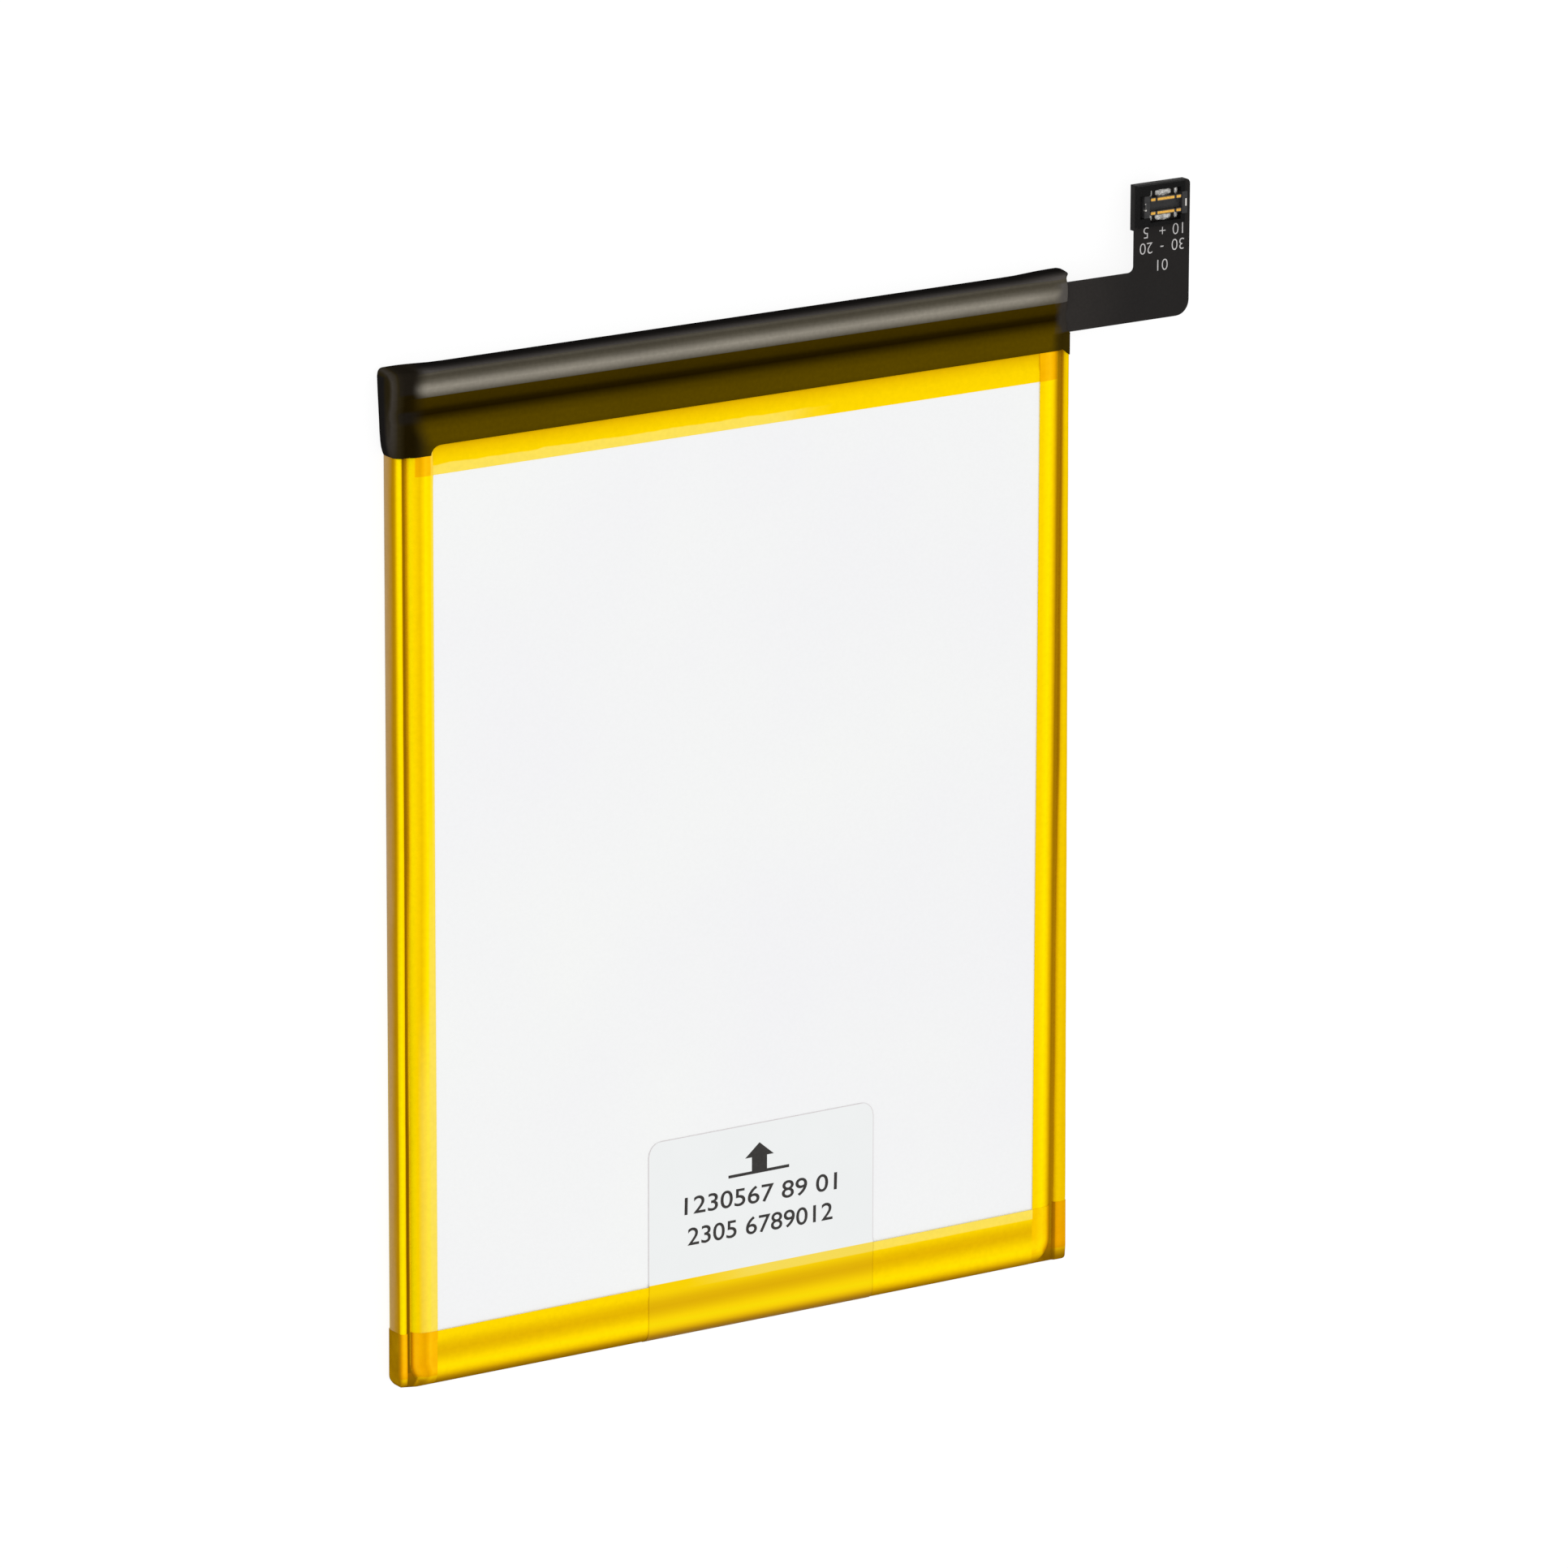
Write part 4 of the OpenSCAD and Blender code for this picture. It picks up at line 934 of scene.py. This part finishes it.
def pullPiece():
    # path of the tab: along the face, round the bottom edge and along the back
    over = layers["pull"]
    front, back, corner = pull["front"], pull["back"], pull["corner"]
    near = [0.0, 0.05, 0.14, 0.3, 0.5, 0.8, 1.2]
    rows = [(front - e, None, e) for e in near]
    rows += [(y, None, 9.0) for y in between(-26.0, -34.8, 11) + [-35.3, -35.45, -35.55, -35.65, -35.75, -35.85, -36.0, -36.3, -36.7]]
    radius = along(cell["endR"], pull["x"]) + over
    start = cell["bottom"] - over
    rows += [(y, None, 9.0) for y in between(-37.2, start + radius, 5)]
    rows += [(start + radius * (1 - math.cos(math.radians(a))), None, 9.0) for a in range(80, -1, -8)]
    rows += [(start, 1.2, 9.0), (start, 0.95, 9.0)]
    backR = cell["endBackR"] + over
    for angle in range(0, 91, 15):
        a = math.radians(angle)
        rows.append((
            start + backR * (1 - math.cos(a)), cell["backZ"] + cell["endBackR"] - backR * math.sin(a), 9.0
        ))
    flat = cell["backZ"] - over
    rows += [(y, flat, 9.0) for y in between(-39.0, -21.0, 12)]
    rows += [(back - e, flat, e) for e in reversed(near)]
    thin = pull["outline"] / pull["half"]
    columns = [-1.0, -1 + thin] + between(-0.96, 0.96, 24) + [1 - thin, 1.0]

    def place(u, row):
        y, z, e = row
        half = pull["half"] - (corner - math.sqrt(corner ** 2 - (corner - e) ** 2) if e < corner else 0.0)
        x = pull["x"] + u * half
        if z is None:
            rise = softStep(-y, 35.4, 35.85)
            z = packTop(x, y, pull["onLabel"] + (over - pull["onLabel"]) * rise)
        return x, y, z

    def isOutline(centre):
        e = (front - centre.y) if centre.z > 1.5 else (back - centre.y)
        half = pull["half"] - (corner - math.sqrt(max(corner ** 2 - (corner - max(e, 0.0)) ** 2, 0.0)) if e < corner else 0.0)
        return e < 0.052 or abs(centre.x - pull["x"]) > half - pull["outline"] * 0.9

    shape, ends = placeGrid(columns, rows, place)
    materials = [pullMaterial(False), pullMaterial(True)]
    return finishFilm(shape, "pullTab", "pull_tab", materials, layers["thick"], isOutline=isOutline)


header = {
    "low": 34.95,
    "earLow": 34.2,
    "ear": (-28.15, -27.25),
    "flat": 36.0,
    "top": 40.65,
    "level": 2.985,
    "strip": (38.78, 38.82, 0.03),
    "valley": (37.62, 0.8, 0.19),
    "crown": (39.5, 0.8, 0.045),
    "edgeR": 0.62,
    "right": [(34.2, 31.05), (36.1, 31.05), (36.5, 30.5), (40.65, 30.5)],
    "left": [(34.2, -31.07), (34.6, -31.22), (35.0, -31.3), (36.0, -31.38), (37.5, -31.44), (39.0, -31.49), (40.65, -31.52)],
    "corner": (0.5, 0.4),
    "cornerOut": 0.72,
    "cornerBack": 0.2,
    "thick": 0.045,
}


def wrapTop(x, y):
    where, reach, amount = header["valley"]
    z = header["level"] - amount * bell((y - where) / reach)
    low, high, rise = header["strip"]
    z += rise * softStep(y, low, high)
    where, reach, amount = header["crown"]
    z += amount * bell((y - where) / reach)
    z -= header["edgeR"] - capRise(header["top"] - y, header["edgeR"])
    if x < 0:
        upper = softStep(y, 34.2, 37.0)
        z -= softStep(-x, 29.2, 30.8) * (0.3 - 0.1 * upper)
        z -= 0.1 * bell((x + 30.1) / 0.45)
        gap, wide, deep = x - along(header["left"], y), 0.6 + 0.2 * upper, 0.7 - 0.1 * upper
    else:
        upper = softStep(y, 36.05, 36.45)
        z -= softStep(x, 29.4, 30.6) * (0.42 - 0.3 * upper)
        z -= 0.06 * (1 - upper) * bell((x - 30.15) / 0.35)
        gap, wide, deep = along(header["right"], y) - x, 0.35, 0.5 - 0.15 * upper
    if gap < wide:
        t = 1 - max(gap, 0.0) / wide
        z -= deep * (1 - math.sqrt(max(1 - t * t, 0.0)))
    return max(z, 1.75)


def wrapPiece():
    left = [-31.5, -31.485, -31.44, -31.37, -31.28, -31.17, -31.04, -30.9, -30.75]
    left += between(-30.6, -28.9, 14) + [-28.7, -28.5, -28.3, -28.15, -28.14, -28.11, -28.06, -27.97, -27.93, -27.87, -27.78, -27.66, -27.5, -27.25]
    right = [28.6, 29.0, 29.3] + between(29.5, 30.8, 13) + [30.87, 30.93, 30.98, 31.02, 31.04, 31.05]
    columns = left + between(-27.0, 28.0, 44) + right
    rounded = [header["top"] - header["edgeR"] * (1 - math.cos(math.radians(a))) for a in range(77, -1, -7)]
    rows = [34.95, 35.1, 35.3, 35.55, 35.8, 36.0, 36.1, 36.2, 36.3, 36.4, 36.55] + between(36.8, 38.4, 12)
    rows += [38.6, 38.74, 38.78, 38.8, 38.82, 38.9] + between(39.0, 40.0, 8) + [y for y in rounded if y > 40.05]
    first, last = header["ear"]

    def lowEdge(x):
        if x <= first:
            return header["earLow"]
        if x < last:
            return header["earLow"] + (header["low"] - header["earLow"]) * math.sqrt(1 - ((x - last) / (last - first)) ** 2)
        return header["low"] - 0.6 * softStep(x, 29.9, 31.0)

    def place(x, y):
        if y < header["flat"]:
            y += (lowEdge(x) - header["low"]) * (header["flat"] - y) / (header["flat"] - header["low"])
        if x < -30.6:
            x = -30.6 - (-30.6 - x) / 0.9 * (-30.6 - along(header["left"], y))
        if x > 29.5:
            x = 29.5 + (x - 29.5) / 1.55 * (along(header["right"], y) - 29.5)
        z = wrapTop(x, y)
        # round corners at the two upper ends
        for sign, radius in ((-1, header["corner"][0]), (1, header["corner"][1])):
            end = sign * along(header["left" if sign < 0 else "right"], y)
            cornerX, cornerY = end - radius, header["top"] - radius
            a, b = (sign * x - cornerX) / radius, (y - cornerY) / radius
            if a > 0 and b > 0:
                k = max(a, b) / math.hypot(a, b)
                x, y = sign * (cornerX + a * k * radius), cornerY + b * k * radius
        return x, y, z

    shape, ends = placeGrid(columns, rows, place)
    low = 0.06
    rings = [
        (2.1, 0.0, 0.04), (1.7, 0.01, 0.07), (1.3, 0.01, 0.08), (0.9, -0.02, 0.05), (0.6, -0.08, -0.02),
        (0.36, -0.13, -0.09), (0.18, -0.2, -0.2), (low, -0.3, -0.4), (low, -3.0, -2.7),
    ]
    dropRim(shape, ends["first"], rings, (-27.0, 27.0, 0.0, 36.4))
    # the back corners stand out a little, the right one most, where the folded end clears the tail
    for vertex in shape.verts:
        vx, vy, vz = vertex.co / mm
        back = softStep(vy, 40.2, 40.6)
        vertex.co.x += header["cornerOut"] * softStep(vx, 28.6, 30.5) * back * (1 - softStep(vz, 1.7, 2.75)) * mm
        vertex.co.y += header["cornerBack"] * softStep(abs(vx), 26.0, 30.5) * back * mm
    return finishFilm(shape, "headerWrap", "header_wrap", [wrapMaterial()], header["thick"])


pouchPiece()
finishFilm(mergedCopy("front_label"), "whiteLabel", "front_label", [labelMaterial()], 0)
topPiece()
sidePiece(-1, "sideTapeLeft", "side_tape_left")
sidePiece(1, "sideTapeRight", "side_tape_right")
bottomPiece()
wrapPiece()
pullPiece()
print("films made")


# print on the pull tab: an arrow on a bar, and two rows of plain digits
arrow = {
    "apex": (1.69, -25.67),
    "headHalf": 1.34,
    "headY": -26.8,
    "shaftHalf": 0.71,
    "footY": -28.0,
    "bar": (-1.21, 4.48, -28.19, -27.95),
    "faceZ": 2.965,
    "inkHeight": 0.008,
    "rows": [("1230567 89 01", -5.3, 9.0, -30.7, -1.2), ("2305 6789012", -5.0, 8.6, -33.2, -0.6)],
    "digitHeight": 1.5,
}


def flatShape(shape, points, z, height):
    # one closed outline, raised by the ink's height
    ring = [shape.verts.new((px * mm, py * mm, z * mm)) for px, py in points]
    face = shape.faces.new(ring)
    raised = bmesh.ops.extrude_face_region(shape, geom=[face])
    bmesh.ops.translate(shape, vec=(0, 0, height * mm), verts=[g for g in raised["geom"] if isinstance(g, bmesh.types.BMVert)])


def finishPiece(shape, name, material, smooth=False, node=None):
    bmesh.ops.recalc_face_normals(shape, faces=shape.faces)
    mesh = bpy.data.meshes.new(name)
    for face in shape.faces:
        face.smooth = smooth
    shape.to_mesh(mesh)
    shape.free()
    mesh.materials.append(material)
    piece = bpy.data.objects.new(name, mesh)
    bpy.context.scene.collection.objects.link(piece)
    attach(piece, "root")
    if node:
        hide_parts(node)
    return piece


def addDigits(shape, text, height, z, thin=0.0, box=None, middle=None, turn=0.0):
    # plain digits as flat ink: fitted between two ends, or round a middle point
    curve = bpy.data.curves.new("digits", "FONT")
    curve.body = text
    curve.size = 1.36 * height * mm
    curve.offset = -thin * mm
    holder = bpy.data.objects.new("digits", curve)
    bpy.context.scene.collection.objects.link(holder)
    bpy.context.view_layer.update()
    flat = bpy.data.meshes.new_from_object(holder.evaluated_get(bpy.context.evaluated_depsgraph_get()))
    part = bmesh.new()
    part.from_mesh(flat)
    bmesh.ops.remove_doubles(part, verts=part.verts, dist=1e-7)
    xs = [v.co.x for v in part.verts]
    ys = [v.co.y for v in part.verts]
    centre = Vector(((min(xs) + max(xs)) / 2, (min(ys) + max(ys)) / 2, 0))
    bmesh.ops.translate(part, vec=-centre, verts=part.verts)
    if box:
        left, right, base = box
        bmesh.ops.scale(part, vec=((right - left) * mm / (max(xs) - min(xs)), 1, 1), verts=part.verts)
        middle = ((left + right) / 2, base + height / 2)
    bmesh.ops.rotate(part, matrix=Matrix.Rotation(math.radians(turn), 3, "Z"), verts=part.verts)
    bmesh.ops.translate(part, vec=(middle[0] * mm, middle[1] * mm, z * mm), verts=part.verts)
    lifted = bpy.data.meshes.new("digitsPart")
    part.to_mesh(lifted)
    part.free()
    shape.from_mesh(lifted)
    bpy.data.objects.remove(holder)


ink = plainMaterial("printInk", (62, 60, 59), (55, 53, 52), 0.6, scale=3000, bump=0.05, distance=0.00001, specular=0.05)
printShape = bmesh.new()
ax, ay = arrow["apex"]
flatShape(printShape, [
    (ax, ay), (ax - arrow["headHalf"], arrow["headY"]), (ax - arrow["shaftHalf"], arrow["headY"]),
    (ax - arrow["shaftHalf"], arrow["footY"]), (ax + arrow["shaftHalf"], arrow["footY"]),
    (ax + arrow["shaftHalf"], arrow["headY"]), (ax + arrow["headHalf"], arrow["headY"]),
], arrow["faceZ"], arrow["inkHeight"])
left, right, low, high = arrow["bar"]
flatShape(printShape, [(left, low), (right, low), (right, high), (left, high)], arrow["faceZ"], arrow["inkHeight"] * 0.9)
finishPiece(printShape, "pullTabArrow", ink)
digitShape = bmesh.new()
for text, left, right, base, turn in arrow["rows"]:
    addDigits(digitShape, text, arrow["digitHeight"], arrow["faceZ"] + arrow["inkHeight"], -0.012, (left, right, base), None, turn)
finishPiece(digitShape, "pullTabDigits", ink)
print("print made")


marks = {
    "height": 0.98,
    "z": 2.626,
    "thin": 0.018,
    "items": [
        ("5", 37.97, 43.34), ("+", 39.54, 43.34), ("10", 41.02, 43.34),
        ("20", 38.0, 42.07), ("-", 39.51, 42.07), ("30", 41.04, 42.07), ("01", 39.58, 40.57),
    ],
}
whiteInk = plainMaterial("whiteInk", (205, 203, 202), (186, 184, 183), 0.6, scale=4000, bump=0.05, distance=0.00001, specular=0.1)
markShape = bmesh.new()
for text, cx, cy in marks["items"]:
    addDigits(markShape, text, marks["height"], marks["z"], marks["thin"], None, (cx, cy), 180.0)
finishPiece(markShape, "tailMarks", whiteInk)
print("marks made")


solder = {
    "middle": (39.51, 45.52, 2.62),
    "rowY": 0.98,
    "feet": [(-1.22, 0.3, 0.5, 0.13), (0.0, 1.5, 0.56, 0.16), (1.22, 0.3, 0.5, 0.13)],
}
solderShape = bmesh.new()
cx, cy, cz = solder["middle"]
for side in (-1, 1):
    for dx, wide, deep, high in solder["feet"]:
        blob = bmesh.new()
        bmesh.ops.create_icosphere(blob, subdivisions=5 if wide > 1 else 4, radius=1.0)
        for vertex in blob.verts:
            way = vertex.co.copy()
            boxy = [math.copysign(abs(value) ** 0.6, value) for value in way]
            uneven = 1 + 0.22 * noise.noise(Vector((way.x * wide * 3 + dx, way.y * 1.6 + side * 3, way.z)) * 1.4)
            vertex.co = Vector((boxy[0] * wide / 2, boxy[1] * deep / 2 * uneven, boxy[2] * high * uneven)) * mm
            vertex.co += Vector((cx + dx, cy + side * solder["rowY"], cz)) * mm
        everything = blob.verts[:] + blob.edges[:] + blob.faces[:]
        bmesh.ops.bisect_plane(blob, geom=everything, dist=1e-9, plane_co=(0, 0, cz * mm), plane_no=(0, 0, 1), clear_inner=True)
        bmesh.ops.holes_fill(blob, edges=[edge for edge in blob.edges if edge.is_boundary])
        lump = bpy.data.meshes.new("lump")
        blob.to_mesh(lump)
        blob.free()
        solderShape.from_mesh(lump)
tin = plainMaterial("tinPlate", (236, 234, 230), (150, 148, 144), 0.38, 0.35, 5200, 0.7, 0.00003, 0.5)
finishPiece(solderShape, "solderFeet", tin, smooth=True, node="solder_feet")
print("solder made")
